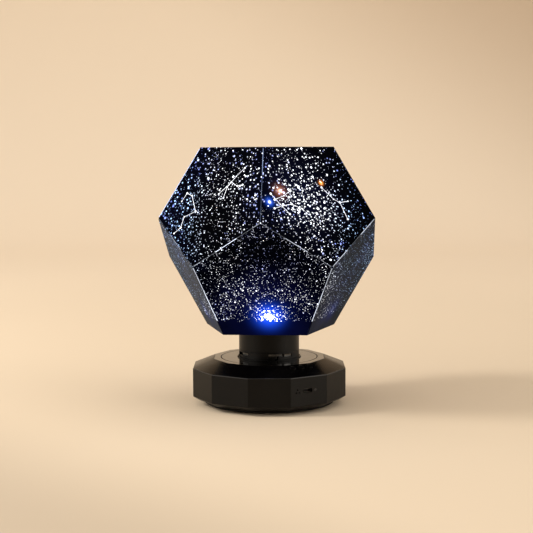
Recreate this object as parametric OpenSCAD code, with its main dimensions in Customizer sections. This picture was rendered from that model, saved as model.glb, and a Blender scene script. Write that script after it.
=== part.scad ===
// A star projector for the desk: a folded twelve-sided film shade, printed with stars, stands on a
// neck over a small fixed lamp, and a geared motor in the faceted base turns the shade slowly.
// The origin is the middle of the foot ring's underside, +Z is up and the front is -Y.
// All sizes are in millimetres.

/* [Star shade] */
// Edge length of the twelve-sided shade
shade_edge = 65; // [60:0.5:70]
// Thickness of the printed film
film_t = 0.6; // [0.4:0.1:0.8]
// Width of the slit that stays open between two petals
seam_w = 0.5; // [0.3:0.1:0.8]
// Width of a glue tab behind a seam
tab_w = 7; // [4:0.5:9]
// Length of a glue tab at its root
tab_l = 15; // [10:0.5:16]
// Distance of a glue tab from the middle of its edge
tab_at = 17.5; // [14:0.5:18]
// Thickness of a glue tab, which is pressed thinner than the film
tab_t = 0.5; // [0.3:0.1:0.8]
// How far the shade stands turned clockwise on its neck, seen from above
shade_turn = 3.9; // [-20:0.1:20]

/* [Neck] */
// Outer diameter of the neck sleeve
neck_d = 48.6; // [45:0.2:50]
// Height of the neck from the base to the shade
neck_h = 24; // [22:0.5:30]
// Wall of the sleeve round the turntable's collar
neck_wall = 2.2; // [1.8:0.1:2.6]
// Step from the sleeve in to the spigot that carries the film
spigot_step = 2.4; // [2:0.1:3]
// Wall of the spigot
spigot_wall = 2; // [1.6:0.1:2.4]
// Width of the clamp ring on the film
clamp_w = 7; // [4:0.5:10]
// Thickness of the clamp ring
clamp_t = 2.2; // [1.6:0.2:2.6]
// Number of bayonet lugs round the neck's foot
lug_count = 4; // [3:1:5]
// Arc of one bayonet lug, in degrees
lug_arc = 16; // [12:1:20]
// Height of a bayonet lug
lug_h = 2; // [1.6:0.2:2.6]
// Turn that frees the bayonet, in degrees
twist = 30; // [22:1:30]

/* [Base] */
// Width of the base across its flat sides
base_w = 122; // [120:0.5:130]
// Width across the flats of the level top
top_w = 88.6; // [86:0.2:92]
// Width across the flats at the underside of the shell
under_w = 110; // [108:0.5:114]
// Height of the round plinth under the shell
plinth_h = 3.4; // [3:0.2:4.6]
// Height of the facets that lean in to the plinth
under_h = 3.6; // [3:0.2:5]
// Height of the upright facets
side_h = 22.6; // [22.2:0.2:26]
// Height of the sloping facets
slope_h = 7; // [6:0.2:8]
// Wall of the base shell
wall = 2.4; // [2:0.1:2.6]
// Thickness of the base plate
plate_t = 2.2; // [1.8:0.1:2.6]
// Width of the rubber foot ring
foot_w = 8; // [5:0.5:10]
// How far the foot ring stands out under the plinth
foot_proud = 1; // [0.6:0.1:1.6]

/* [Turntable] */
// Diameter of the turntable disc
turntable_d = 77; // [74:0.5:80]
// Thickness of the turntable disc
turntable_t = 2.4; // [2:0.1:2.6]
// Outer diameter of the turntable's hub
hub_d = 31; // [30:0.5:32]
// Wall of the hub
hub_wall = 3; // [2.6:0.1:3.4]
// Wall of the bearing bush
bush_wall = 1.6; // [1.2:0.1:2.2]
// Thickness of the slip washer under the disc
slip_t = 0.5; // [0.4:0.1:0.8]
// Radial running clearance of the hub in its bush
run_gap = 0.06; // [0.03:0.01:0.09]

/* [Gears] */
// Module of the gear pair
gear_module = 0.8; // [0.78:0.01:0.82]
// Teeth on the ring gear
ring_teeth = 60; // [58:1:62]
// Teeth on the motor's pinion
pinion_teeth = 15; // [15:1:16]
// Width of the gears' faces
gear_t = 4; // [3:0.2:4.2]
// Play between two teeth on the pitch circle
backlash = 0.16; // [0.12:0.02:0.24]

/* [Lamp] */
// Height of the light's middle above the shade's lowest face
lamp_h = 7; // [6:0.5:12]
// Outer diameter of the lamp post
post_d = 16; // [14:0.5:18]
// Diameter of the post's bore for the lamp lead
post_bore = 9; // [7:0.5:10]
// Diameter of the cap that carries the lamp board
cap_d = 31; // [28:0.5:33]
// Diameter of the round lamp board
lamp_board_d = 20; // [16:0.5:24]
// Diameter of the lens over the light
lens_d = 8; // [8:0.5:10]

/* [Motor and battery] */
// Diameter of the geared motor's can
motor_d = 28; // [24:0.5:28]
// Height of the geared motor's can
motor_h = 18.4; // [16:0.2:18.6]
// Distance of the motor's shaft from the middle of its can
shaft_offset = 8; // [6:0.5:8]
// Diameter of the battery cell
cell_d = 18.4; // [16:0.1:18.6]
// Length of the battery cell
cell_l = 65; // [60:0.5:65.5]

/* [Controls] */
// Diameter of a button
button_d = 5.2; // [4:0.2:5.6]
// Distance between two buttons
button_pitch = 7.4; // [7:0.2:8]
// Travel of a button
button_travel = 0.6; // [0.3:0.1:0.8]
// How far a button stands out of its facet
button_proud = 1; // [0.9:0.1:1.6]
// Width of the charging socket
socket_w = 7.6; // [7:0.1:8.4]
// Height of the charging socket
socket_h = 2.7; // [2.4:0.1:3.2]
// Distance of the socket to the left of its facet's middle
socket_left = 1.1; // [0:0.1:2]
// Diameter of the charge light beside the socket
charge_light_d = 1.8; // [1.4:0.1:2.4]

/* [Hidden] */
$fn = 64;

// Clearances, which hold for every size
seat_gap = 0.1;      // between two pieces of one body that are fitted together
slide_gap = 0.3;     // between a moving piece and what it passes
beyond = 1;          // how far a cut runs past the face that it opens

// The shade: a regular dodecahedron that stands on one face
face_fold = atan(2);                                    // turn from one face's normal to the next
dihedral = 180 - face_fold;                             // inner angle between two faces
face_in = shade_edge / (2 * tan(36));                   // from a face's middle to an edge
shade_in = face_in / tan(face_fold / 2);                // from the shade's middle to a face
seam_set = (seam_w / 2 + film_t * cos(dihedral / 2)) / sin(dihedral / 2);  // cut back of an edge
seam_in = face_in - seam_set;
glue_t = 0.05;                                          // glue between a tab and the film over it
tab_root = 0.3;                                         // how far a tab's root reaches into its petal
tab_from = film_t * sin(dihedral) + seam_set * cos(dihedral) - tab_root;
tab_taper = 2.5;                                        // how much a tab narrows at each side

// The base: heights of the facets' corners, from the table up
shell_z = plinth_h;
side_z = shell_z + under_h;
slope_z = side_z + side_h;
base_h = slope_z + slope_h;
base_in = base_w / 2;
top_in = top_w / 2;
under_in = under_w / 2;
slope_angle = atan2(slope_h, base_in - top_in);
facet_count = 12;
facet_step = 360 / facet_count;
plate_in = under_in - wall - seat_gap;                  // half the plate's width across its flats
plate_z = shell_z + plate_t;                            // the plate's upper face
plinth_r = plate_in;
plinth_flare = 1;                                       // how much wider the plinth is at its top

// The turntable's stack, from the disc down
disc_r = turntable_d / 2;
recess_r = disc_r + 0.5;
disc_z = base_h - turntable_t;
floor_z = disc_z - slip_t - seat_gap;                   // top of the recess's floor
floor_t = 2.2;
floor_under = floor_z - floor_t;
hub_r = hub_d / 2;
hub_bore = hub_r - hub_wall;
bush_in = hub_r + run_gap;
bush_out = bush_in + bush_wall;
bush_rim = 2;                                           // how far the bush's rim lies on the floor
bush_z = floor_under - 0.5;
slip_w = 12;                                            // width of the slip washer
ring_top = bush_z - slide_gap;
ring_z = ring_top - gear_t;
clip_t = 1;
clip_w = 3;                                             // how far the clip stands out of the hub
clip_z = ring_z - seat_gap - clip_t;
clip_depth = 0.8;                                       // depth of the clip's groove in the hub
hub_z = clip_z - 0.8;
key_count = 3;
key_w = 3;
key_depth = 1;

// The neck's stack, from the turntable up
neck_r = neck_d / 2;
neck_z = base_h + slide_gap;
neck_bore = neck_r - neck_wall;
shade_z = base_h + neck_h;
shoulder_t = 2.4;                                       // web between the sleeve and its spigot
collar_r = neck_bore - 0.15;
collar_wall = 2.2;
collar_h = 12;
lug_z = base_h + 3;
lug_r = neck_r - slide_gap;
lug_turn = -52;                                         // from +X to the first lug
lug_play = 1.5;                                         // in degrees, at each side of a lug
lug_gap = 0.2;                                          // over and under a lug
bead_z = base_h + 10.6;                                 // height of the fine line round the neck
bead_w = 0.6;
bead_depth = 0.4;
spigot_r = neck_r - spigot_step;
spigot_bore = spigot_r - spigot_wall;
clamp_z = shade_z + film_t;
spigot_top = clamp_z + clamp_t + 0.4;

// The lamp, on a post that goes up through the hub
post_r = post_d / 2;
post_bore_r = post_bore / 2;
post_foot_r = post_r + 7;
post_foot_t = 3;
post_screw_at = (post_r + post_foot_r) / 2;
lamp_z = shade_z + lamp_h;
lens_r = lens_d / 2;
lens_wall = 0.6;
lamp_board_t = 1.6;
lamp_board_z = lamp_z - 1.5 - lamp_board_t;
chip_w = 2;
chip_at = 1.7;                                          // from the lamp's middle to a chip's middle
chip_t = 0.8;
cap_r = cap_d / 2;
cap_t = 2.2;
cap_z = lamp_board_z - cap_t;
cap_skirt_h = 6;
cap_skirt_wall = 1.5;
lead_hole_r = 1.8;
lead_hole_z = plate_z + 5.7;

// The gears
ring_r = gear_module * ring_teeth / 2;
pinion_r = gear_module * pinion_teeth / 2;
gear_centres = ring_r + pinion_r;
pressure_angle = 20;
addendum = 0.9 * gear_module;
dedendum = 1.25 * gear_module;

// The motor stands at the back right, with its shaft towards the middle
motor_turn = 45;
motor_r = motor_d / 2;
motor_at = gear_centres + shaft_offset;
motor_z = plate_z + seat_gap;
motor_top = motor_z + motor_h;
motor_boss_r = 4.5;
motor_boss_h = 1.2;
ear_r = 3.5;
ear_at = motor_r + ear_r;
ear_t = 1;
shaft_r = 2.5;
shaft_flat = 2;                                         // from the shaft's middle to its flat
shaft_depth = 5;                                        // how deep the shaft reaches into the can
bore_gap = 0.05;

// The battery lies across the left side
holder_wall = 1.4;
contact_room = 1;                                       // at each end of the cell, for its contact
contact_w = 9;
contact_t = 0.5;
cell_r = cell_d / 2;
cell_z = plate_z + holder_wall + cell_r;
holder_l = cell_l + 2 * (holder_wall + contact_room);
holder_w = cell_d + 2 * (holder_wall + seat_gap);
holder_h = 0.7 * cell_d;
cell_x = -(post_foot_r + 1 + holder_w / 2);

// The controls and the socket, all on the facet at the front right
control_turn = -60;
socket_z = side_z + side_h / 2 + 0.6;
socket_l = 5.6;
socket_wall = 0.35;
socket_round = 0.9;                                     // radius of the socket's corners
socket_mouth = base_in - 1.6;                           // where the socket's mouth lies in its window
window_gap = 0.3;
light_at = 5.7;                                         // from the facet's middle to the charge light
light_l = 6;
board_t = 1.6;
board_w = 29;
board_l = 24;
board_end = base_in - wall - 1;
board_z = socket_z - socket_h / 2 - board_t;
board_post_r = 2.6;
board_post_across = 11;
board_posts = [8.5, 20.5];                              // from the board's end to its posts
button_down = 5;                                        // down the slope from its upper edge
button_r = button_d / 2;
button_rim = 0.7;
button_rim_t = 1;
switch_w = 6;
switch_h = 3.2;
plunger_r = 1.5;
plunger_h = 1.4;
plunger_room = 1.6;                                     // depth of a switch's hole for its plunger
switch_top = -(wall + slide_gap + button_rim_t + button_travel + slide_gap);
button_board_t = 1.2;
button_board_l = 8;
button_board_z = switch_top - switch_h - button_board_t;
button_post_r = 1.9;
button_post_at = button_pitch + button_r + button_rim + button_post_r + slide_gap;
button_board_w = 2 * (button_post_at + 2.4);

// Screws
screw_r = 1;
screw_hole_r = 1.2;
pilot_r = 1.05;
head_r = 2.2;
head_t = 1.2;
plate_grip = 9;                                         // how deep each kind of screw bites
ear_grip = 6;
board_grip = 4;
boss_r = 3.2;
boss_at = plate_in - head_r - 1.6;
boss_count = 4;
boss_screw_z = shell_z - 0.4;
ear_far = norm([motor_at, ear_at]);
boss_clear = 8.05;                                      // from a motor ear to the boss beside it
boss_turn = motor_turn + atan2(ear_at, motor_at) - 90 + acos(min(1,
    (boss_at * boss_at + ear_far * ear_far - boss_clear * boss_clear) / (2 * boss_at * ear_far)));
foot_r = boss_at - head_r - 1.4;                        // outer radius of the foot ring
foot_seat = 1;                                          // depth of the foot ring's groove
relief_r = foot_r - foot_w - 3;                         // radius of the hollow under the plate

// Leads. Each point is chosen by hand and measured from the piece that it leaves or reaches:
// on the control facet out from the axis, above the circuit board, or under the button board.
lead_r = 0.9;
lead_sides = 8;
function on_facet(out, across, z) = [out * cos(control_turn) - across * sin(control_turn),
    out * sin(control_turn) + across * cos(control_turn), z];
function on_board(back, across, up) = on_facet(board_end - back, across, board_z + board_t + up);
function under_slope(down, across, up) = on_facet(
    top_in + (button_down + down) * cos(slope_angle) + (button_board_z + up) * sin(slope_angle), across,
    base_h - (button_down + down) * sin(slope_angle) + (button_board_z + up) * cos(slope_angle));
lamp_lead_points = [on_board(22, -0.4, 1.05), on_board(27.6, 0, 1.45), on_facet(20, 0, lead_hole_z + 2.7),
    on_facet(13.9, 0, lead_hole_z + 0.3), on_facet(8, 0, lead_hole_z), on_facet(2.2, 0, lead_hole_z + 0.9),
    for (k = [0:4]) [0, 0, lead_hole_z + 4.7 + k / 4 * (lamp_board_z - lead_hole_z - 4.9)]];
motor_x = motor_at * cos(motor_turn);
motor_front = motor_at * sin(motor_turn) - motor_r;
motor_lead_points = [[motor_x, motor_front - 0.7, 12], [motor_x, motor_front - 5, 10.6],
    [motor_x + 0.6, 0, 10], [motor_x + 0.6, -9, 10.5], on_board(29.1, 15.3, -2.5),
    on_board(25.1, 11.3, 1.45), on_board(22, 6.6, 1.05)];
passage = (holder_l / 2 + boss_at * cos(boss_turn) - boss_r) / 2;   // between the holder and a boss
battery_lead_points = [[cell_x, -holder_l / 2 - 1.3, 16], [cell_x + 4.7, -passage, 13],
    [cell_x + 14.7, -passage, 11], on_board(27.1, -22.2, -5.5), on_board(26.7, -14.4, -2.5),
    on_board(25.2, -8.9, 1.05), on_board(22.7, -6.8, 1.75), on_board(19.5, -6.5, 1.05)];
button_lead_points = [under_slope(-1.9, -0.5, -1.2), on_board(17.5, -0.6, 6.95),
    on_board(19.6, -0.2, 4.45), on_board(20, 0.6, 2.45), on_board(19.1, 1.4, 1.05)];

// ---------------------------------------------------------------- shapes that repeat

// A twelve-sided body: one upright outline, [half width across flats, height] from the bottom up,
// is extruded across and turned to each pair of facets, and what is common to all is kept.
module faceted_body(outline) {
    mirrored = [for (k = [len(outline) - 1:-1:0]) [-outline[k][0], outline[k][1]]];
    intersection_for (k = [0:facet_count / 2 - 1])
        rotate([0, 0, k * facet_step]) rotate([90, 0, 0])
            linear_extrude(height = 3 * base_in, center = true) polygon(concat(outline, mirrored));
}

// A cylinder from z0 to z1
module rod(r, z0, z1) {
    translate([0, 0, z0]) cylinder(r = r, h = z1 - z0);
}

// A tube from z0 to z1
module tube(outer, inner, z0, z1) {
    difference() {
        rod(outer, z0, z1);
        rod(inner, z0 - beyond, z1 + beyond);
    }
}

// A block of a ring, centred on +X and arc degrees wide
module ring_block(inner, outer, z0, z1, arc) {
    rotate([0, 0, -arc / 2]) rotate_extrude(angle = arc)
        translate([inner, z0]) square([outer - inner, z1 - z0]);
}

// A wedge of a round, centred on +X and arc degrees wide, to cut a slot through a wall
module wedge(reach, z0, z1, arc) {
    translate([0, 0, z0]) linear_extrude(height = z1 - z0) polygon([[0, 0],
        reach * [cos(arc / 2), -sin(arc / 2)], reach * [cos(arc / 2), sin(arc / 2)]]);
}

// A pan-head screw whose head's underside is at z = 0 and whose shank runs up
module screw(shank) {
    translate([0, 0, -head_t]) cylinder(r = head_r, h = head_t);
    translate([0, 0, -head_t / 2]) cylinder(r = screw_r, h = shank + head_t / 2);
}

// Places children under the sloping facet's row of buttons: +Z leaves the facet, +Y is to the right
module on_slope(across) {
    rotate([0, 0, control_turn]) translate([top_in, 0, base_h]) rotate([0, slope_angle, 0])
        translate([button_down, across, 0]) children();
}

// Places children at the socket's height on the control facet: +X leaves it, +Y is to the right
module at_controls(across, z) {
    rotate([0, 0, control_turn]) translate([0, across, z]) children();
}

// Places children at each screw boss of the shell
module at_bosses() {
    for (k = [0:boss_count - 1]) rotate([0, 0, boss_turn + k * 360 / boss_count])
        translate([boss_at, 0, 0]) children();
}

// Places children at the middle of the motor's can, with +X away from the turntable
module at_motor() {
    rotate([0, 0, motor_turn]) translate([motor_at, 0, 0]) children();
}

// Places children at the motor's shaft
module at_shaft() {
    rotate([0, 0, motor_turn]) translate([gear_centres, 0, 0]) children();
}

// Places children at the two screw ears of the motor
module at_ears() {
    at_motor() for (side = [-1, 1]) translate([0, side * ear_at, 0]) children();
}

// Places children at the posts under the circuit board
module at_board_posts() {
    for (back = board_posts) for (side = [-1, 1])
        at_controls(side * board_post_across, 0) translate([board_end - back, 0, 0]) children();
}

// Places children at the screws of the lamp post's foot
module at_post_screws() {
    for (k = [0:2]) rotate([0, 0, control_turn + 60 + k * 120]) translate([post_screw_at, 0, 0])
        children();
}

// A block with its lower face's middle at the origin
module block(size) {
    translate([-size[0] / 2, -size[1] / 2, 0]) cube(size);
}

// A smooth line through points, with a number of steps from each to the next
function between(p, i, t) = let (
    a = p[max(i - 1, 0)], b = p[i], c = p[i + 1], d = p[min(i + 2, len(p) - 1)])
    0.5 * (2 * b + (c - a) * t + (2 * a - 5 * b + 4 * c - d) * t * t
        + (3 * b - a - 3 * c + d) * t * t * t);
function smooth(p, steps) = concat(
    [for (i = [0:len(p) - 2]) for (s = [0:steps - 1]) between(p, i, s / steps)], [p[len(p) - 1]]);
function unit(v) = v / norm(v);

// A round lead along a line, as one swept skin
module lead(points) {
    line = smooth(points, 3);
    n = len(line);
    side = unit([0.31, 0.83, 0.47]);
    rings = [for (i = [0:n - 1]) let (
        along = unit(line[min(i + 1, n - 1)] - line[max(i - 1, 0)]),
        u = unit(cross(along, side)), v = cross(along, u))
        for (k = [0:lead_sides - 1])
            line[i] + lead_r * (cos(360 * k / lead_sides) * u + sin(360 * k / lead_sides) * v)];
    walls = [for (i = [0:n - 2]) for (k = [0:lead_sides - 1]) let (
        a = i * lead_sides + k, b = i * lead_sides + (k + 1) % lead_sides)
        each [[a, b, b + lead_sides], [a, b + lead_sides, a + lead_sides]]];
    ends = [[for (k = [lead_sides - 1:-1:0]) k],
        [for (k = [0:lead_sides - 1]) (n - 1) * lead_sides + k]];
    polyhedron(points = rings, faces = concat(walls, ends), convexity = 4);
}

// ---------------------------------------------------------------- gears

// The involute's polar angle where it reaches radius r
function involute(base, r) = let (t = sqrt(max(0, pow(r / base, 2) - 1))) t * 180 / PI - atan(t);

// One flank of a tooth from its root to its tip, as [radius, angle from the tooth's middle]
function flank(teeth) = let (
    pitch = gear_module * teeth / 2, base = pitch * cos(pressure_angle),
    root = pitch - dedendum, tip = pitch + addendum, start = max(base, root),
    half = 90 / teeth - backlash / pitch * 45 / PI + involute(base, pitch))
    concat(root < base ? [[root, half]] : [],
        [for (k = [0:2]) let (r = start + (tip - start) * k / 2) [r, half - involute(base, r)]]);

// A spur gear with a tooth's middle at the angle turn
module gear(teeth, turn) {
    rise = flank(teeth);
    last = len(rise) - 1;
    tooth = concat([for (p = rise) [p[0], -p[1]]], [for (k = [last:-1:0]) rise[k]]);
    polygon([for (k = [0:teeth - 1]) for (p = tooth) let (a = turn + k * 360 / teeth + p[1])
        p[0] * [cos(a), sin(a)]]);
}

// ---------------------------------------------------------------- base

module outer_body() {
    faceted_body([[under_in, shell_z], [base_in, side_z], [base_in, slope_z], [top_in, base_h]]);
}

// The space inside the shell, which is open below
module inner_body() {
    inner = base_in - wall;
    slope_in = base_in * sin(slope_angle) + slope_z * cos(slope_angle) - wall;
    faceted_body([
        [under_in - wall, shell_z - beyond],
        [under_in - wall, plate_z],
        [inner, side_z + wall / 2],
        [inner, (slope_in - inner * sin(slope_angle)) / cos(slope_angle)],
        [(slope_in - floor_under * cos(slope_angle)) / sin(slope_angle), floor_under]
    ]);
}

// Room under the buttons, so that the facet is one wall thick there
module button_pocket() {
    long = 2 * (button_pitch + button_r + button_rim + 0.4);
    on_slope(0) translate([1, 0, -wall - 6]) block([11, long, 6]);
}

module button_holes() {
    for (k = [-1:1]) on_slope(k * button_pitch) rod(button_r + slide_gap, -2 * wall, beyond);
}

module button_posts() {
    for (side = [-1, 1]) on_slope(side * button_post_at)
        rod(button_post_r, button_board_z + button_board_t, -wall);
}

module button_pilots() {
    for (side = [-1, 1]) on_slope(side * button_post_at)
        rod(pilot_r, button_board_z, -wall - 1);
}

// A straight length of the socket's outline, from x0 to x1 on the control facet
module socket_bar(grow, x0, x1) {
    at_controls(-socket_left, socket_z) translate([x0, 0, 0]) rotate([0, 90, 0])
        linear_extrude(height = x1 - x0) {
            square([socket_h + 2 * grow, socket_w + 2 * (grow - socket_round)], center = true);
            square([socket_h + 2 * (grow - socket_round), socket_w + 2 * grow], center = true);
            for (side = [-1, 1]) for (up = [-1, 1])
                translate([up * (socket_h / 2 - socket_round), side * (socket_w / 2 - socket_round)])
                    circle(r = socket_round + grow);
        }
}

// A screw boss with a rib to the corner behind it
module boss() {
    rod(boss_r, plate_z, floor_under + beyond);
    rib_end = (base_in - wall / 2) / cos(facet_step / 2) - boss_at;
    translate([0, -0.8, side_z + wall]) cube([rib_end, 1.6, side_h - 2 * wall]);
}

module base_shell() {
    color("#24211f") difference() {
        union() {
            difference() {
                outer_body();
                inner_body();
            }
            at_bosses() boss();
        }
        rod(recess_r, floor_z, base_h + beyond);
        rod(bush_out + seat_gap, floor_under - beyond, base_h);
        at_bosses() rod(pilot_r, plate_z - beyond, plate_z + plate_grip + 2);
        button_pocket();
        button_holes();
        socket_bar(window_gap, base_in - wall - beyond, base_in + beyond);
        at_controls(light_at, socket_z) rotate([0, 90, 0])
            rod(charge_light_d / 2 + seat_gap, base_in - wall - beyond, base_in + beyond);
    }
    color("#24211f") difference() {
        button_posts();
        button_pilots();
    }
}

module plate_outline() {
    rotate([0, 0, facet_step / 2]) circle(r = plate_in / cos(facet_step / 2), $fn = facet_count);
}

module base_plate() {
    color("#1b1918") difference() {
        union() {
            translate([0, 0, shell_z]) linear_extrude(height = plate_t) plate_outline();
            rotate_extrude() polygon([[0, foot_proud], [plinth_r, foot_proud],
                [plinth_r + plinth_flare, shell_z], [0, shell_z]]);
            at_ears() rod(ear_r - 0.3, plate_z - beyond, motor_top - ear_t);
            at_board_posts() rod(board_post_r, plate_z - beyond, board_z);
        }
        tube(foot_r + seat_gap, foot_r - foot_w - seat_gap, foot_proud - beyond, foot_proud + foot_seat);
        rod(relief_r, foot_proud - beyond, shell_z);
        at_bosses() {
            rod(head_r + 0.3, foot_proud - beyond, boss_screw_z);
            rod(screw_hole_r, foot_proud, plate_z + beyond);
        }
        at_post_screws() rod(screw_hole_r, shell_z - beyond, plate_z + beyond);
        at_ears() rod(pilot_r, motor_top - ear_t - ear_grip - 2, motor_top);
        at_board_posts() rod(pilot_r, board_z - board_grip - 2, board_z + beyond);
    }
}

module foot_ring() {
    color("#0f0f0f") tube(foot_r, foot_r - foot_w, 0, foot_proud + foot_seat);
}

module plate_screws() {
    color("#8c8c8c") at_bosses() translate([0, 0, boss_screw_z]) screw(plate_z - boss_screw_z + plate_grip);
}

module bearing_bush() {
    color("#d8d4c8") {
        tube(bush_out, bush_in, bush_z, floor_z + slip_t);
        tube(bush_out + bush_rim, bush_out - 0.2, floor_z, floor_z + slip_t);
    }
}

module slip_washer() {
    inner = bush_out + bush_rim + 0.5;
    color("#e6e2d8") tube(inner + slip_w, inner, floor_z, floor_z + slip_t);
}

// ---------------------------------------------------------------- lamp

module lamp_post() {
    color("#a9adb2") difference() {
        union() {
            rod(post_foot_r, plate_z, plate_z + post_foot_t);
            rod(post_r, plate_z, cap_z);
        }
        rod(post_bore_r, plate_z - beyond, cap_z + beyond);
        rotate([0, 0, control_turn]) translate([0, 0, lead_hole_z]) rotate([0, 90, 0])
            rod(lead_hole_r, 0, post_r + beyond);
        at_post_screws() rod(pilot_r, plate_z - beyond, plate_z + post_foot_t + beyond);
    }
}

module lamp_post_screws() {
    color("#8c8c8c") at_post_screws() translate([0, 0, shell_z])
        screw(plate_t + post_foot_t - 0.2);
}

module lamp_cap() {
    skirt = post_r + seat_gap;
    color("#1d1d1f") {
        tube(cap_r, post_bore_r, cap_z, lamp_board_z);
        tube(skirt + cap_skirt_wall, skirt, cap_z - cap_skirt_h, cap_z + 0.2);
    }
}

module lamp_board() {
    color("#e8e8e4") rod(lamp_board_d / 2, lamp_board_z, lamp_board_z + lamp_board_t);
}

module led_chips() {
    color("#f4e8a0") for (k = [0:2]) rotate([0, 0, 30 + k * 120])
        translate([chip_at, 0, lamp_board_z + lamp_board_t]) block([chip_w, chip_w, chip_t]);
}

module led_lens() {
    color("#dfefff") translate([0, 0, lamp_board_z + lamp_board_t]) difference() {
        sphere(r = lens_r);
        sphere(r = lens_r - lens_wall);
        rod(2 * lens_r, -2 * lens_r, 0);
    }
}

// ---------------------------------------------------------------- battery

module battery_cell() {
    nub = 1;
    color("#3c6fb0") translate([cell_x, 0, cell_z]) rotate([90, 0, 0]) {
        rod(cell_r, -cell_l / 2, cell_l / 2 - nub);
        rod(0.32 * cell_r, 0, cell_l / 2);
    }
}

module battery_holder() {
    color("#202020") translate([cell_x, 0, plate_z]) difference() {
        block([holder_w, holder_l, holder_h]);
        translate([0, 0, holder_wall + cell_r]) rotate([90, 0, 0])
            rod(cell_r + seat_gap, -cell_l / 2 - contact_room, cell_l / 2 + contact_room);
        translate([0, 0, holder_wall + cell_r])
            block([2 * (cell_r + seat_gap), cell_l + 2 * contact_room, holder_h]);
    }
}

module battery_contacts() {
    color("#c9c9c9") for (side = [-1, 1]) {
        out = cell_l / 2 + contact_room;
        translate([cell_x, side * (out - contact_t / 2), cell_z - contact_w / 2])
            block([contact_w, contact_t, contact_w]);
        translate([cell_x, 0, cell_z]) rotate([-90 * side, 0, 0])
            rod(1.5, cell_l / 2 + 0.05, out - contact_t / 2);
    }
}

// ---------------------------------------------------------------- motor and gears

module motor_can() {
    color("#c4c6c8") difference() {
        union() {
            at_motor() rod(motor_r, motor_z, motor_top);
            at_shaft() rod(motor_boss_r, motor_top - beyond, motor_top + motor_boss_h);
            at_ears() rod(ear_r, motor_top - ear_t, motor_top);
            at_motor() translate([0, 0, motor_top - ear_t]) block([2 * ear_r, 2 * ear_at, ear_t]);
        }
        at_shaft() rod(shaft_r + bore_gap, motor_top - shaft_depth - seat_gap, motor_top + 2 * beyond);
        at_ears() rod(screw_hole_r, motor_top - ear_t - beyond, motor_top + beyond);
    }
}

module motor_screws() {
    color("#8c8c8c") at_ears() translate([0, 0, motor_top]) mirror([0, 0, 1]) screw(ear_t + ear_grip);
}

// The shaft's section, with its flat away from the turntable's middle
module shaft_section(grow) {
    intersection() {
        circle(r = shaft_r + grow);
        translate([-shaft_r - 1, -shaft_r - 1])
            square([shaft_r + 1 + shaft_flat + grow, 2 * shaft_r + 2]);
    }
}

module drive_shaft() {
    color("#9aa0a6") at_shaft() {
        rod(shaft_r, motor_top - shaft_depth, motor_top + motor_boss_h);
        translate([0, 0, motor_top + motor_boss_h - beyond])
            linear_extrude(height = ring_top - motor_top - motor_boss_h + beyond) shaft_section(0);
    }
}

// A tooth of the pinion points along -X of the shaft, where the ring gear has a gap
module drive_pinion() {
    color("#f1efe8") at_shaft() translate([0, 0, ring_z]) linear_extrude(height = gear_t)
        difference() {
            gear(pinion_teeth, 180);
            shaft_section(bore_gap);
        }
}

// The ring gear slides on the hub from below, over three keyways
module ring_gear() {
    bore = hub_r + bore_gap;
    color("#f1efe8") {
        translate([0, 0, ring_z]) linear_extrude(height = gear_t) difference() {
            gear(ring_teeth, motor_turn + 180 / ring_teeth);
            circle(r = bore);
        }
        for (k = [0:key_count - 1]) rotate([0, 0, k * 360 / key_count])
            translate([hub_r - key_depth, -key_w / 2, ring_z]) cube([key_depth + 1, key_w, gear_t]);
    }
}

module hub_clip() {
    inner = hub_r - clip_depth + bore_gap;
    color("#8c8c8c") rotate([0, 0, 30]) rotate_extrude(angle = 300)
        translate([inner, clip_z]) square([clip_w + clip_depth, clip_t]);
}

module turntable() {
    color("#262321") difference() {
        union() {
            rod(disc_r, disc_z, base_h);
            rod(hub_r, hub_z, base_h);
            rod(collar_r, base_h - beyond, base_h + collar_h);
            for (k = [0:lug_count - 1]) rotate([0, 0, lug_turn + k * 360 / lug_count])
                ring_block(collar_r - collar_wall / 2, lug_r, lug_z, lug_z + lug_h, lug_arc);
        }
        rod(hub_bore, hub_z - beyond, base_h + beyond);
        rod(collar_r - collar_wall, base_h, base_h + collar_h + beyond);
        tube(hub_r + 1, hub_r - clip_depth, clip_z - seat_gap, clip_z + clip_t + seat_gap);
        for (k = [0:key_count - 1]) rotate([0, 0, k * 360 / key_count])
            translate([hub_r - key_depth - seat_gap, -key_w / 2 - seat_gap, hub_z - beyond])
                cube([hub_wall, key_w + 2 * seat_gap, ring_top + seat_gap - hub_z + beyond]);
    }
}

// ---------------------------------------------------------------- circuit and controls

module circuit_board() {
    color("#1f5a3a") difference() {
        at_controls(0, board_z) translate([board_end - board_l, -board_w / 2, 0])
            cube([board_l, board_w, board_t]);
        at_board_posts() rod(screw_hole_r, board_z - beyond, board_z + board_t + beyond);
    }
}

module board_screws() {
    color("#8c8c8c") at_board_posts() translate([0, 0, board_z + board_t])
        mirror([0, 0, 1]) screw(board_t + board_grip);
}

// A controller, a charger, two resistors and the charge lamp, standing on the board
module board_chips() {
    top = board_z + board_t;
    lamp_l = 1.4;
    color("#2b2b2b") {
        at_controls(3.5, top) translate([board_end - 15.5, 0, 0]) block([5, 5, 1.2]);
        at_controls(-4.5, top) translate([board_end - 13, 0, 0]) block([4, 5, 1.5]);
        for (k = [0:1]) at_controls(-4 + 3 * k, top) translate([board_end - 18.5, 0, 0])
            block([1.2, 2, 0.8]);
        at_controls(light_at, top) translate([base_in - light_l - lamp_l / 2 - seat_gap, 0, 0])
            block([lamp_l, 1.6, socket_h / 2 + charge_light_d / 2]);
    }
}

module charge_socket() {
    back = socket_mouth - socket_l;
    color("#b9bcc0") difference() {
        socket_bar(0, back, socket_mouth);
        socket_bar(-socket_wall, back + socket_wall, socket_mouth + beyond);
    }
}

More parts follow.
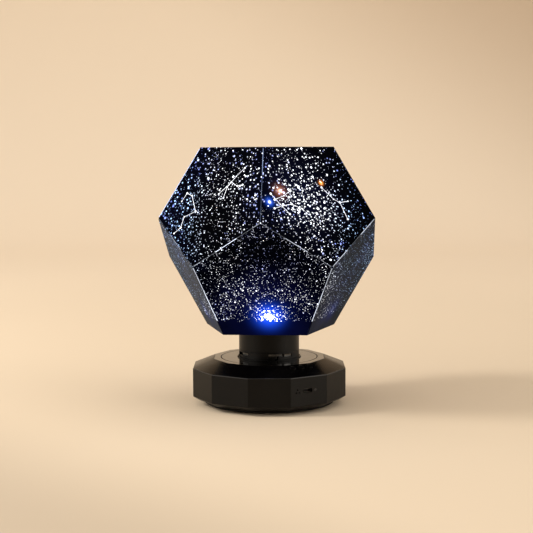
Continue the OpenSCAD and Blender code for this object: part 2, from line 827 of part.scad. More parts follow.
module socket_tongue() {
    back = socket_mouth - socket_l + socket_wall;
    inner_w = socket_w - 2 * socket_wall - 2 * seat_gap;
    inner_h = socket_h - 2 * socket_wall - 2 * seat_gap;
    color("#161616") at_controls(-socket_left, socket_z) {
        translate([back, -inner_w / 2 + socket_round, -inner_h / 2])
            cube([1, inner_w - 2 * socket_round, inner_h]);
        translate([back, -inner_w / 2 + 1.2, -0.35]) cube([4, inner_w - 2.4, 0.7]);
    }
}

module charge_light() {
    color("#9fd0ff") at_controls(light_at, socket_z) rotate([0, 90, 0])
        rod(charge_light_d / 2, base_in - light_l, base_in);
}

module button_board() {
    color("#1f5a3a") difference() {
        on_slope(0) translate([0, 0, button_board_z])
            block([button_board_l, button_board_w, button_board_t]);
        for (side = [-1, 1]) on_slope(side * button_post_at)
            rod(screw_hole_r, button_board_z - beyond, button_board_z + button_board_t + beyond);
    }
}

module button_board_screws() {
    color("#8c8c8c") for (side = [-1, 1]) on_slope(side * button_post_at)
        translate([0, 0, button_board_z]) screw(button_board_t + 3);
}

module button_switches() {
    color("#2b2b2b") for (k = [-1:1]) on_slope(k * button_pitch) difference() {
        translate([0, 0, button_board_z + button_board_t]) block([switch_w, switch_w, switch_h]);
        rod(plunger_r + 0.1, switch_top - plunger_room, switch_top + beyond);
    }
}

// A round button with a rim that keeps it behind the facet
module button(k) {
    rim_z = -(wall + slide_gap);
    color("#2c2926") on_slope(k * button_pitch) rotate_extrude() polygon([
        [0, rim_z - button_rim_t], [button_r + button_rim, rim_z - button_rim_t],
        [button_r + button_rim, rim_z], [button_r, rim_z],
        [button_r, button_proud - 0.4], [button_r - 0.4, button_proud], [0, button_proud]]);
}

module plunger(k) {
    top = -(wall + slide_gap + button_rim_t);
    color("#d9d9d9") on_slope(k * button_pitch) rod(plunger_r, top - plunger_h, top);
}

module light_button() { button(-1); }
module colour_button() { button(0); }
module turn_button() { button(1); }
module light_plunger() { plunger(-1); }
module colour_plunger() { plunger(0); }
module turn_plunger() { plunger(1); }

module lamp_lead() { color("#c03030") lead(lamp_lead_points); }
module motor_lead() { color("#d8d8d8") lead(motor_lead_points); }
module battery_lead() { color("#b02020") lead(battery_lead_points); }
module button_lead() { color("#d0a030") lead(button_lead_points); }

// ---------------------------------------------------------------- neck and shade

module neck_sleeve() {
    run = lug_arc + 2 * lug_play;
    color("#211f1d") difference() {
        union() {
            rod(neck_r, neck_z, shade_z);
            rod(spigot_r, shade_z - beyond, spigot_top);
        }
        rod(neck_bore, neck_z - beyond, shade_z - shoulder_t);
        rod(spigot_bore, neck_z, spigot_top + beyond);
        tube(neck_r + beyond, neck_r - bead_depth, bead_z, bead_z + bead_w);
        for (k = [0:lug_count - 1]) rotate([0, 0, lug_turn + k * 360 / lug_count]) {
            rotate([0, 0, (run / 2 - twist) / 2])
                wedge(neck_d, lug_z - lug_gap, lug_z + lug_h + lug_gap, twist + run / 2);
            rotate([0, 0, -twist]) wedge(neck_d, neck_z - beyond, lug_z + lug_h + lug_gap, run);
        }
    }
}

module film_clamp() {
    inner = spigot_r + seat_gap;
    outer = inner + clamp_w;
    color("#211f1d") rotate_extrude() polygon([[inner, clamp_z], [outer, clamp_z],
        [outer, clamp_z + clamp_t - 1], [outer - 1, clamp_z + clamp_t], [inner, clamp_z + clamp_t]]);
}

// A five-sided outline whose edges lie at the distances d from its middle, the first along +X
function face_outline(d) = [for (k = [0:4]) let (a = 72 * k, e = d[k], f = d[(k + 1) % 5])
    [e * sin(a + 72) - f * sin(a), f * cos(a) - e * cos(a + 72)] / sin(72)];

// Places children on a face that folds out from the pole: +Z leaves the face, +X leads away from
// the pole, and its outer side is at z = 0
module on_petal(k) {
    rotate([0, 0, 36 + 72 * k]) rotate([0, face_fold, 0]) translate([0, 0, shade_in]) children();
}

// A glue tab that comes in over the edge at the angle turn and lies behind the face
module tab(turn) {
    edge = face_in - tab_from;
    tip = face_in - tab_w;
    depth = film_t + glue_t;
    rotate([0, 0, turn]) translate([0, 0, -depth - tab_t]) linear_extrude(height = tab_t)
        polygon([[edge, tab_at - tab_l / 2], [edge, tab_at + tab_l / 2],
            [tip + 1, tab_at + tab_l / 2 - tab_taper], [tip, tab_at + tab_l / 2 - tab_taper - 1],
            [tip, tab_at - tab_l / 2 + tab_taper + 1], [tip + 1, tab_at - tab_l / 2 + tab_taper]]);
}

// Half the shade, folded out of one sheet: the face at the pole and five petals round it. The
// petals carry the tabs at their own seams, and those that lie behind the other half.
module star_film() {
    translate([0, 0, shade_in - film_t]) linear_extrude(height = film_t) rotate(36)
        polygon(face_outline([for (k = [0:4]) face_in]));
    for (k = [0:4]) on_petal(k) {
        translate([0, 0, -film_t]) linear_extrude(height = film_t) rotate(180)
            polygon(face_outline([face_in, seam_in, seam_in, seam_in, seam_in]));
        for (turn = [-108, 108]) tab(turn);
    }
    rotate([0, 180, 0]) for (k = [0:4]) on_petal(k) for (turn = [-36, 36]) tab(turn);
}

module at_shade_middle() {
    translate([0, 0, shade_z + shade_in]) rotate([0, 0, -90 - shade_turn]) children();
}

module lower_star_film() {
    color("#0d0e14") difference() {
        at_shade_middle() rotate([0, 180, 0]) star_film();
        rod(spigot_r + seat_gap, shade_z - beyond, clamp_z + beyond);
    }
}

module upper_star_film() {
    color("#0d0e14") at_shade_middle() star_film();
}

base_shell();
base_plate();
foot_ring();
plate_screws();
bearing_bush();
slip_washer();
lamp_post();
lamp_post_screws();
lamp_cap();
lamp_board();
led_chips();
led_lens();
battery_cell();
battery_holder();
battery_contacts();
motor_can();
motor_screws();
drive_shaft();
drive_pinion();
circuit_board();
board_chips();
board_screws();
charge_socket();
socket_tongue();
charge_light();
button_board();
button_board_screws();
button_switches();
light_button();
colour_button();
turn_button();
light_plunger();
colour_plunger();
turn_plunger();
lamp_lead();
motor_lead();
battery_lead();
button_lead();
turntable();
ring_gear();
hub_clip();
neck_sleeve();
film_clamp();
lower_star_film();
upper_star_film();
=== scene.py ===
# %% [markdown]
# # A star projector for the desk
# The real object is a small room lamp. A twelve-sided shade, folded from black film that is printed
# with stars, stands on a neck over a lamp, and a faceted base holds the motor that turns it.
# The solids come from the CAD model as a fixed frame. This lesson adds what the eye sees: rounded
# edges, satin plastic, printed film with glowing stars, and a plain pale studio.

# %% Load the frame
import math

import bmesh
import bpy
from mathutils import Matrix, Vector


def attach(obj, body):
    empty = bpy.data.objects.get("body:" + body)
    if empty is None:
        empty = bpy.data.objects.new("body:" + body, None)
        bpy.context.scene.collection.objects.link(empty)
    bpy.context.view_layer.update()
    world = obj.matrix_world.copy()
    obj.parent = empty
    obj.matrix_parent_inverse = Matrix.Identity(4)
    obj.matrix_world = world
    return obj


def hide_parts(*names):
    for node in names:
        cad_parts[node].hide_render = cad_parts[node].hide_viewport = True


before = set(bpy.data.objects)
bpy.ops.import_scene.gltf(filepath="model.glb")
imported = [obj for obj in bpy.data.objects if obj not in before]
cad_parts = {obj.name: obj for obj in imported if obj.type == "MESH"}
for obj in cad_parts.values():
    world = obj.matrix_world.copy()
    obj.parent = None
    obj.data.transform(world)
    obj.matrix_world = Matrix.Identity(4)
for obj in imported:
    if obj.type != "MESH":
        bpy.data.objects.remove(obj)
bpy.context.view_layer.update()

# %% [markdown]
# ## The camera
# The photograph looks at the lamp from a little above, from about a metre away. A long lens keeps
# the upright edges nearly parallel. The camera comes first, so that every test render can be laid
# beside the photograph. The Standard view shows each colour as it is written.

# %% Camera
lens = bpy.data.cameras.new("camera")
lens.lens = 81.05
lens.sensor_width = 36
camera = bpy.data.objects.new("camera", lens)
bpy.context.scene.collection.objects.link(camera)
camera.location = (0, -0.9626, 0.2008)
pitch, yaw, roll = math.radians(90 - 5.41), 0.0019, -0.0047
camera.rotation_euler = (
    Matrix.Rotation(yaw, 3, "Z") @ Matrix.Rotation(pitch, 3, "X") @ Matrix.Rotation(roll, 3, "Z")
).to_euler()
bpy.context.scene.camera = camera
bpy.context.scene.view_settings.view_transform = "Standard"
print("camera:", lens.lens, "mm lens at", tuple(camera.location))

# %% [markdown]
# ## Measures
# The shade is a regular dodecahedron. Everything printed on it or shining through it is placed from
# its middle and from the directions of its faces, so these few numbers are named once. The lower
# faces lie between the upper ones, half a step round.

# %% Measures in metres
MM = 0.001
base_half = 61 * MM                      # from the axis to an upright facet
top_half = 44.3 * MM
under_half = 55 * MM
shell_low, side_low, slope_low, base_top = 3.4 * MM, 7 * MM, 29.6 * MM, 36.6 * MM
wall = 2.4 * MM
neck_radius = 24.3 * MM
shade_edge = 65 * MM
shade_middle = Vector((0, 0, 132.97 * MM))
face_distance = 72.37 * MM               # from the shade's middle to a face
fold = math.atan(2)                      # between the directions of two faces that meet
upper_turn, lower_turn = -57.9, -93.9    # of the first upper and lower face, from +X in degrees
controls_turn = -60                      # of the facet with the buttons and the socket


def face_direction(turn, up):
    """The direction that a side face of the shade looks in."""
    a = math.radians(turn)
    tilt = math.cos(fold) if up else -math.cos(fold)
    return Vector((math.sin(fold) * math.cos(a), math.sin(fold) * math.sin(a), tilt))


upper_faces = [face_direction(upper_turn + 72 * k, True) for k in range(5)]
lower_faces = [face_direction(lower_turn + 72 * k, False) for k in range(5)]
print("shade:", len(upper_faces), "upper and", len(lower_faces), "lower side faces")

# %% [markdown]
# ## Helpers for modelling by hand
# Blender's operators act on whatever is selected, so each step starts by deselecting everything and
# taking one piece. In edit mode the faces are then picked in code, by where they are and which way
# they look, as a modeller would click on them.

# %% Helpers: select and finish


def let_go():
    """Leaves edit mode and deselects everything."""
    if bpy.context.mode != "OBJECT":
        bpy.ops.object.mode_set(mode="OBJECT")
    bpy.ops.object.select_all(action="DESELECT")


def take(piece):
    """Makes one piece the only one selected, in object mode."""
    let_go()
    piece.select_set(True)
    bpy.context.view_layer.objects.active = piece
    return piece


def edit_faces(piece):
    """Opens a piece in edit mode, to pick faces."""
    take(piece)
    bpy.ops.object.mode_set(mode="EDIT")
    bpy.ops.mesh.select_mode(type="FACE")


def pick(piece, test):
    """Selects only the faces whose middle and direction pass the test."""
    bpy.ops.mesh.select_all(action="DESELECT")
    mesh = bmesh.from_edit_mesh(piece.data)
    for face in mesh.faces:
        if test(face.calc_center_median(), face.normal):
            face.select_set(True)
    bmesh.update_edit_mesh(piece.data)


def is_top(middle, way):
    return way.z > 0.9


def is_bottom(middle, way):
    return way.z < -0.9


def is_end(middle, way):
    return abs(way.z) > 0.9


def inset(wide):
    """Insets the picked faces by a border of some width."""
    bpy.ops.mesh.inset(thickness=wide)


def slice_at(spot, way):
    """Cuts new edges right across the piece, at a spot and square to a direction."""
    bpy.ops.mesh.select_all(action="SELECT")
    bpy.ops.mesh.bisect(plane_co=spot, plane_no=way)


def extrude(move):
    bpy.ops.mesh.extrude_region_move(TRANSFORM_OT_translate={"value": move})


def lift(up):
    """Moves what is picked along Z."""
    bpy.ops.transform.translate(value=(0, 0, up))


def grow(up, wide=1.0):
    """Extrudes the picked faces by up along Z, and makes their end wide times as wide."""
    extrude((0, 0, up))
    bpy.ops.transform.resize(value=(wide, wide, 1), center_override=(0, 0, 0))


def call(piece, name):
    piece.name = piece.data.name = name
    return piece


def settle(piece, angle=30):
    """Ends the work: the place goes into the mesh, doubles merge and faces point outwards."""
    take(piece)
    bpy.ops.object.transform_apply(location=True, rotation=True, scale=True)
    bpy.ops.object.mode_set(mode="EDIT")
    bpy.ops.mesh.select_all(action="SELECT")
    bpy.ops.mesh.remove_doubles(threshold=1e-6)
    bpy.ops.mesh.normals_make_consistent(inside=False)
    bpy.ops.object.mode_set(mode="OBJECT")
    bpy.ops.object.shade_smooth_by_angle(angle=math.radians(angle))
    print(f"{piece.name}: {len(piece.data.polygons)} faces")
    return piece


# %% Helpers: round edges, cut and copy


def round_edges(piece, width, angle, segments=2):
    """Rounds each edge that is sharper than the angle, as a mould does."""
    take(piece)
    bevel = piece.modifiers.new("round", "BEVEL")
    bevel.width, bevel.segments = width, segments
    bevel.limit_method, bevel.angle_limit = "ANGLE", math.radians(angle)
    bpy.ops.object.modifier_apply(modifier="round")


def keep_flat(piece, angle=40):
    """Lets the large flat faces lead the shading, so that only their rounded edges look round."""
    take(piece)
    bpy.ops.object.shade_smooth_by_angle(angle=math.radians(angle))
    weighted = piece.modifiers.new("flat", "WEIGHTED_NORMAL")
    weighted.mode, weighted.weight, weighted.keep_sharp = "FACE_AREA", 50, True
    bpy.ops.object.modifier_apply(modifier="flat")


def cut(piece, cutter):
    """Cuts one piece out of another, and removes the cutter."""
    take(piece)
    boolean = piece.modifiers.new("cut", "BOOLEAN")
    boolean.operation, boolean.solver, boolean.object = "DIFFERENCE", "EXACT", cutter
    bpy.ops.object.modifier_apply(modifier="cut")
    bpy.data.objects.remove(cutter)


# %% Helpers: primitives and copies


def turned(degrees, axis="Z"):
    return Matrix.Rotation(math.radians(degrees), 4, axis)


def shifted(x, y, z):
    return Matrix.Translation((x, y, z))


def placed(place):
    """Puts a new primitive's place into its mesh, and carries it to a given place."""
    piece = take(bpy.context.object)
    bpy.ops.object.transform_apply(location=True, rotation=True, scale=True)
    if place is not None:
        piece.data.transform(place)
    return piece


def rod(radius, low, high, sides, place=None):
    """A cylinder primitive between two heights."""
    let_go()
    bpy.ops.mesh.primitive_cylinder_add(
        vertices=sides, radius=radius, depth=high - low, location=(0, 0, (low + high) / 2))
    return placed(place)


def block(size, place=None):
    """A cube primitive of a given size in each direction."""
    let_go()
    bpy.ops.mesh.primitive_cube_add(size=1)
    bpy.context.object.scale = size
    return placed(place)


def hollow(piece, thickness):
    """Makes a tube of a rod: both its ends are inset by one wall and joined."""
    edit_faces(piece)
    pick(piece, is_end)
    inset(thickness)
    bpy.ops.mesh.bridge_edge_loops()


def copy_to(piece, place):
    """Copies a piece with its own mesh, which is carried to its place."""
    other = piece.copy()
    other.data = piece.data.copy()
    other.data.transform(place)
    bpy.context.scene.collection.objects.link(other)
    return other


def join(pieces, name):
    """Joins pieces into one and names it."""
    whole = take(pieces[0])
    for piece in pieces:
        piece.select_set(True)
    bpy.ops.object.join()
    return settle(call(whole, name))


def copies(piece, places, name):
    """Copies a piece to each place and joins the copies."""
    let_go()
    made = [copy_to(piece, place) for place in places]
    bpy.data.objects.remove(piece)
    return join(made, name)


# %% [markdown]
# ## Helpers for materials
# A material is a small machine of nodes. These helpers add one node, feed it and hand back what it
# puts out, so that the cells below read like a recipe.

# %% Helpers: nodes


def feed(socket, value):
    """Links a socket to another node's output, or sets it to a value. A colour gets its alpha."""
    if isinstance(value, bpy.types.NodeSocket):
        socket.id_data.links.new(value, socket)
    else:
        socket.default_value = (*value, 1) if socket.type == "RGBA" else value


def fill(inputs, **values):
    """Feeds several inputs by name, with underscores for the spaces."""
    for label, value in values.items():
        feed(inputs[label.replace("_", " ")], value)


def new_node(kind, *values):
    """A node in the tree that the values come from, of which one at least is an output."""
    source = next(value for value in values if isinstance(value, bpy.types.NodeSocket))
    return source.id_data.nodes.new("ShaderNode" + kind)


def maths(operation, *values, clamp=False):
    node = new_node("Math", *values)
    node.operation, node.use_clamp = operation, clamp
    for socket, value in zip(node.inputs, values):
        feed(socket, value)
    return node.outputs[0]


def add(*values, clamp=False):
    return maths("ADD", *values, clamp=clamp)


def times(*values, clamp=False):
    return maths("MULTIPLY", *values, clamp=clamp)


def split(place):
    """The X, Y and Z of a place."""
    node = new_node("SeparateXYZ", place)
    feed(node.inputs[0], place)
    return node.outputs


def vectors(operation, first, second=(0, 0, 0), scale=1.0):
    node = new_node("VectorMath", first)
    node.operation = operation
    feed(node.inputs[0], first)
    feed(node.inputs[1], second)
    feed(node.inputs[3], scale)
    return node.outputs[1 if operation == "DISTANCE" else 0]


def ramp(value, low, high, start=0.0, end=1.0):
    """Goes smoothly from start to end while value goes from low to high."""
    node = new_node("MapRange", value)
    node.interpolation_type = "SMOOTHSTEP"
    for name, number in zip(("Value", "From Min", "From Max", "To Min", "To Max"),
                            (value, low, high, start, end)):
        feed(node.inputs[name], number)
    return node.outputs["Result"]


def blend(share, first, second, kind="MIX"):
    """Mixes two colours by share."""
    node = new_node("Mix", share, first, second)
    node.data_type, node.blend_type = "RGBA", kind
    feed(node.inputs["Factor"], share)
    feed(node.inputs[6], first)
    feed(node.inputs[7], second)
    return node.outputs[2]


def noise(place, scale, detail=2.0, rough=0.5):
    node = new_node("TexNoise", place)
    fill(node.inputs, Vector=place, Scale=scale, Detail=detail, Roughness=rough)
    return node.outputs["Fac"]


def object_place(tree):
    return tree.nodes.new("ShaderNodeTexCoord").outputs["Object"]


def patches(tree, scale, detail, low=0.3, high=0.7, start=0.0, end=1.0):
    """Soft patches all over a piece, between start and end."""
    return ramp(noise(object_place(tree), scale, detail), low, high, start, end)


# %% Helpers: groups and materials


def new_group(name, inputs, outputs):
    """A node group with named inputs, as (name, kind, value), and outputs, as (name, kind)."""
    tree = bpy.data.node_groups.new(name, "ShaderNodeTree")
    for label, kind, value in inputs:
        socket = tree.interface.new_socket(label, in_out="INPUT", socket_type="NodeSocket" + kind)
        socket.default_value = value
    for label, kind in outputs:
        tree.interface.new_socket(label, in_out="OUTPUT", socket_type="NodeSocket" + kind)
    print("group:", name, "gives", ", ".join(label for label, kind in outputs))
    return tree, tree.nodes.new("NodeGroupInput").outputs, tree.nodes.new("NodeGroupOutput").inputs


def use(tree, group, **values):
    """Places a group in a tree and feeds its inputs."""
    node = tree.nodes.new("ShaderNodeGroup")
    node.node_tree = group
    fill(node.inputs, **values)
    return node.outputs


def new_material(name, **constants):
    """A material with one Principled shader, and its constants set straight on its sockets."""
    material = bpy.data.materials.new(name)
    material.use_nodes = True
    tree = material.node_tree
    inputs = tree.nodes["Principled BSDF"].inputs
    fill(inputs, **constants)
    return material, tree, inputs


def bump(height, depth):
    """Turns a height into a Normal; depth is the real height in metres of a full step."""
    node = new_node("Bump", height)
    fill(node.inputs, Strength=1.0, Distance=depth, Height=height)
    return node.outputs["Normal"]


def dress(material, *names):
    """Gives one material to CAD nodes or pieces, through their material slots."""
    for name in names:
        mesh = bpy.data.objects[name].data
        mesh.materials.clear()
        mesh.materials.append(material)
    print(material.name, "on", ", ".join(names))


# %% [markdown]
# ## The studio
# The photograph shows a cream-coloured room. A plain floor that sweeps up into a backdrop stands in
# for it. The sweep is one plane whose far edge is extruded up in small steps, each turned a little,
# so that no line shows where floor and wall meet. The other edges are extruded too, far out, so
# that the floor also fills the picture when somebody looks from the side or the back.

# %% Floor and backdrop
far_out = 10
sweep_steps, sweep_step = 12, 0.1
backdrop_height = 2.5

let_go()
bpy.ops.mesh.primitive_plane_add(size=1, location=(0, 0, 0))
floor = take(bpy.context.object)
floor.name = "studio_sweep"
floor.scale = (6, 4.2, 1)
floor.location = (0, -0.6, -0.0002)
bpy.ops.object.transform_apply(location=True, rotation=True, scale=True)
bpy.ops.object.mode_set(mode="EDIT")
bpy.ops.mesh.select_mode(type="EDGE")


def stretch(test, move):
    """Extrudes the edges of the floor whose two ends pass the test."""
    bpy.ops.mesh.select_all(action="DESELECT")
    mesh = bmesh.from_edit_mesh(floor.data)
    for edge in mesh.edges:
        if all(test(corner.co) for corner in edge.verts):
            edge.select_set(True)
    bmesh.update_edit_mesh(floor.data)
    extrude(move)


stretch(lambda spot: spot.x > 2.9, (far_out, 0, 0))
stretch(lambda spot: -3.1 < spot.x < -2.9, (-far_out, 0, 0))
stretch(lambda spot: spot.y < -2.6, (0, -far_out, 0))
for k in range(sweep_steps):
    a = math.radians(90 * (k + 0.5) / sweep_steps)
    move = (0, sweep_step * math.cos(a), sweep_step * math.sin(a))
    if k == 0:
        stretch(lambda spot: spot.y > 1 and abs(spot.x) < 3.1, move)
    else:
        extrude(move)
extrude((0, 0, backdrop_height))
take(floor)
bpy.ops.object.shade_smooth()
print("studio sweep:", len(floor.data.polygons), "faces")

# %% [markdown]
# The paint of the sweep is a warm cream with a very soft cloud in it, because a perfectly even
# surface looks drawn. Light and shade are painted into it as well: the backdrop is painted lighter
# than the floor, a painted shade darkens it towards the right and the top, and another painted
# shade darkens the floor in front of the lamp, more towards the left. The soft light does the rest.

# %% Studio paint
paint, tree, inputs = new_material("studio_cream", Roughness=0.9, IOR=1.2)
colour = blend(patches(tree, 1.3, 1.0), (0.75, 0.625, 0.475), (0.79, 0.66, 0.505))
x, y, z = split(object_place(tree))
# Painted light: the backdrop is painted lighter than the floor.
colour = blend(ramp(y, 0.1, 1.9), colour, (0.88, 0.75, 0.595))
# Painted shade: darker towards the right and towards the top.
dim = ramp(add(x, times(z, 1.4)), 0.45, 1.7)
colour = blend(dim, colour, (0.62, 0.49, 0.36))
# Painted shade: darker on the floor in front of the lamp, more towards the left.
corner_shade = ramp(add(x, y), -0.22, -0.46)
colour = blend(corner_shade, colour, (0.59, 0.49, 0.375))
feed(inputs["Base Color"], colour)
dress(paint, "studio_sweep")

# %% [markdown]
# The shadow in the photograph falls to the right on the floor, so the light comes from the left.
# One soft lamp gives it. It isn't mirrored, because the film in the photograph shows no bright
# patch. The world fills in the rest. It is dark behind the camera, as a room is, and two bright
# walls stand low at the left and right of it. The black plastic mirrors them softly, so it is
# darkest where it faces the camera and paler on the facets beside that.

# %% Light
sky = bpy.data.worlds.new("studio_world")
bpy.context.scene.world = sky
sky.use_nodes = True
tree = sky.node_tree
x, y, z = split(tree.nodes.new("ShaderNodeTexCoord").outputs["Generated"])
room = blend(ramp(y, -0.95, -0.50), (0.05, 0.046, 0.041), (1.0, 0.93, 0.84))
beside = times(ramp(maths("ABSOLUTE", x), 0.55, 0.85), times(ramp(y, 0.1, -0.3), ramp(z, 0.5, 0.15)))
level = times(ramp(x, 0.4, 0.85, 1.0, 1.45), add(1.0, times(beside, 2.0)))
fill(tree.nodes["Background"].inputs, Color=vectors("SCALE", room, scale=level),
     Strength=0.92)


def soft_lamp(name, wide, high, watts, place, target):
    """A warm rectangular lamp that shines on a target and isn't mirrored."""
    lamp = bpy.data.lights.new(name, "AREA")
    lamp.shape, lamp.size, lamp.size_y = "RECTANGLE", wide, high
    lamp.energy, lamp.color = watts, (1.0, 0.95, 0.87)
    holder = bpy.data.objects.new(name, lamp)
    bpy.context.scene.collection.objects.link(holder)
    holder.location = place
    holder.visible_glossy = False
    aim = Vector(target) - holder.location
    holder.rotation_euler = aim.to_track_quat("-Z", "Y").to_euler()
    print("light:", name, watts, "W")


soft_lamp("window", 0.36, 0.36, 14, (-1.31, -0.17, 0.98), (0.1, 0.02, 0.05))

# %% [markdown]
# A second lamp hangs behind the object and looks only at the backdrop, out of the camera's view. It
# makes the backdrop as bright as the floor and puts no light on the object.

# %% Backdrop light
soft_lamp("backdrop_light", 2.4, 0.4, 2.0, (-0.25, 0.75, 1.15), (-0.25, 2.3, 0.35))

# %% [markdown]
# ## Moulded plastic
# The base, the turntable and the neck are black plastic from a finely blasted mould. It is nearly
# matt when seen straight on and shines at a low angle. The grain is a fine noise in the bump and in
# the roughness. Handling leaves faint smears, which are a second, larger noise in the roughness.

# %% Moulded grain as a group
moulded_grain, have, give = new_group(
    "moulded grain",
    [("Grain", "Float", 2600.0), ("Rough low", "Float", 0.3), ("Rough high", "Float", 0.42)],
    [("Height", "Float"), ("Roughness", "Float"), ("Smear", "Float")])
tree = moulded_grain
place = object_place(tree)
fine = noise(place, have["Grain"])
smear = ramp(noise(vectors("MULTIPLY", place, (1, 1, 0.45)), 55, 3, 0.6), 0.42, 0.72)
mixed = add(times(smear, 0.6), times(fine, 0.4))
spread = maths("SUBTRACT", have["Rough high"], have["Rough low"])
fill(give, Height=fine, Smear=smear,
     Roughness=add(have["Rough low"], times(mixed, spread)))


def plastic(name, colour, low, high, grain=2600.0, depth=0.008 * MM, ior=1.2):
    """A moulded plastic of one colour, with its grain and smears."""
    material, tree, inputs = new_material(name, IOR=ior)
    skin = use(tree, moulded_grain, Grain=grain, Rough_low=low, Rough_high=high)
    worn = [part * 1.6 + 0.0006 for part in colour]
    fill(inputs, Base_Color=blend(skin["Smear"], colour, worn),
         Roughness=skin["Roughness"], Normal=bump(skin["Height"], depth))
    return material


satin_black = plastic("satin_black", (0.0010, 0.0008, 0.0006), 0.38, 0.48, ior=1.27)
slope_black = plastic("slope_black", (0.0010, 0.0008, 0.0006), 0.20, 0.28, ior=1.22)
# Rounded edges: glossier, as a rubbed edge, and painted lighter, as a painted highlight line.
rubbed_highlit_black = plastic("rubbed_highlit_black", (0.0060, 0.0055, 0.0050), 0.20, 0.30, ior=1.45)
gloss_black = plastic("gloss_black", (0.0012, 0.0010, 0.0008), 0.10, 0.17, 2600.0, 0.003 * MM, 1.62)
matt_black = plastic("matt_black", (0.0050, 0.0046, 0.0042), 0.5, 0.66)
button_black = plastic("button_black", (0.0016, 0.0013, 0.0010), 0.12, 0.20, ior=1.3)
foot_rubber = plastic("foot_rubber", (0.010, 0.0095, 0.009), 0.75, 0.9, 1500, 0.03 * MM)
print("plastics:", satin_black.name, gloss_black.name, matt_black.name, button_black.name)

# %% [markdown]
# ## The base shell
# The shell is a twelve-sided drum with a sloping rim, hollow below. It starts as a cylinder with
# twelve sides. The top face is grown up and inwards for the slope, the bottom face down and
# inwards, then inset by one wall and pushed up into the drum, so that the wall is a real wall.

# %% Shell: the drum
hollow_steps = ((5.6, 52.6), (8.2, 58.6), (28.0, 58.6), (31.4, 50.49))  # height and half width
half_facet = 15                                                        # of the turn, in degrees
corner = base_half / math.cos(math.radians(half_facet))
shell = call(rod(corner, side_low, slope_low, 12, turned(half_facet)), "shell_body")
edit_faces(shell)
pick(shell, is_top)
grow(base_top - slope_low, top_half / base_half)
pick(shell, is_bottom)
grow(shell_low - side_low, under_half / base_half)
inset(wall)
inner = under_half - wall
for height, half in hollow_steps:
    pick(shell, lambda middle, way: is_bottom(middle, way) and math.hypot(middle.x, middle.y) < 1e-5)
    faces = bmesh.from_edit_mesh(shell.data).faces
    low = min(face.calc_center_median().z for face in faces if face.select)
    grow(height * MM - low, half * MM / inner)
    inner = half * MM
settle(shell)
round_edges(shell, 0.45 * MM, 20, 3)

# %% [markdown]
# The turntable sinks into a round recess in the top. Its cutter is a cylinder whose upper end is
# widened by a small chamfer, so that the rim of the recess comes out rounded. The three button
# holes are cut along the slope, and the window of the socket is a long rounded block. The flat top
# is polished, as the photograph shows the room in it.

# %% Shell: recess and holes for the bush and the buttons
recess_radius, recess_floor, bush_radius = 39 * MM, 33.6 * MM, 17.26 * MM
button_hole, button_step, down_slope = 2.9 * MM, 7.4 * MM, 5 * MM
chamfer = 0.3 * MM
recess = rod(recess_radius, recess_floor, base_top - chamfer, 128)
edit_faces(recess)
pick(recess, is_top)
grow(chamfer, 1 + chamfer / recess_radius)
grow(1 * MM)
cut(shell, recess)
cut(shell, rod(bush_radius, 30 * MM, 35 * MM, 96))

slope_angle = math.degrees(math.atan2(base_top - slope_low, base_half - top_half))
on_slope = (turned(controls_turn) @ shifted(top_half, 0, base_top)
            @ turned(slope_angle, "Y") @ shifted(down_slope, 0, 0))
for k in (-1, 0, 1):
    cut(shell, rod(button_hole, -4 * MM, 1 * MM, 48, on_slope @ shifted(0, k * button_step, 0)))

# %% Shell: window of the socket, charge light and pin holes
socket_height, socket_across, light_across = 18.9 * MM, -1.1 * MM, 5.7 * MM
window_size, light_hole, pin_hole = (8 * MM, 8.2 * MM, 3.3 * MM), 1.0 * MM, 0.65 * MM
pins = ((-10.2, 1.2), (-11.4, -1.1), (-8.7, -1.1))                     # across and up, in mm
on_facet = turned(controls_turn) @ shifted(base_half, 0, socket_height)
socket_window = block(window_size)
bevel = socket_window.modifiers.new("round", "BEVEL")
bevel.width, bevel.segments = 1.2 * MM, 6
bevel.limit_method = "WEIGHT"
weights = socket_window.data.attributes.new("bevel_weight_edge", "FLOAT", "EDGE")
for edge in socket_window.data.edges:
    a, b = (socket_window.data.vertices[i].co for i in edge.vertices)
    weights.data[edge.index].value = 1.0 if abs(a.x - b.x) > 1e-4 else 0.0
bpy.ops.object.modifier_apply(modifier="round")
socket_window.data.transform(on_facet @ shifted(0, socket_across, 0))
cut(shell, socket_window)
light_place = on_facet @ shifted(0, light_across, 0) @ turned(90, "Y")
cut(shell, rod(light_hole, -4 * MM, 1 * MM, 32, light_place))
for across, up in pins:
    pin_place = on_facet @ shifted(0, across * MM, up * MM) @ turned(90, "Y")
    cut(shell, rod(pin_hole, -1.2 * MM, 1 * MM, 16, pin_place))
settle(shell, 25)
keep_flat(shell)

# %% Shell: its finishes
dress(satin_black, "shell_body")
for material in (gloss_black, rubbed_highlit_black, slope_black):
    shell.data.materials.append(material)
for face in shell.data.polygons:
    if face.normal.z > 0.99 and face.center.z > 36 * MM:
        face.material_index = 1
    elif 0.90 < face.normal.z < 0.95 and face.center.z > slope_low:
        face.material_index = 3
    # The rounded edge between facet and slope: rubbed, and painted lighter as a painted highlight.
    elif 0.08 < face.normal.z < 0.88 and abs(face.center.z - slope_low) < 0.6 * MM:
        face.material_index = 2
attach(shell, "base")
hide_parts("base_shell")

# %% [markdown]
# ## The neck
# The neck is a round sleeve with a narrower spigot on top, which carries the film. It is a cylinder
# whose ends are inset and pushed, as a lathe would do it. The fine line round it is made by two
# cuts across the wall, between which the faces sink in. Four bent slots at its foot take the lugs
# of the turntable.

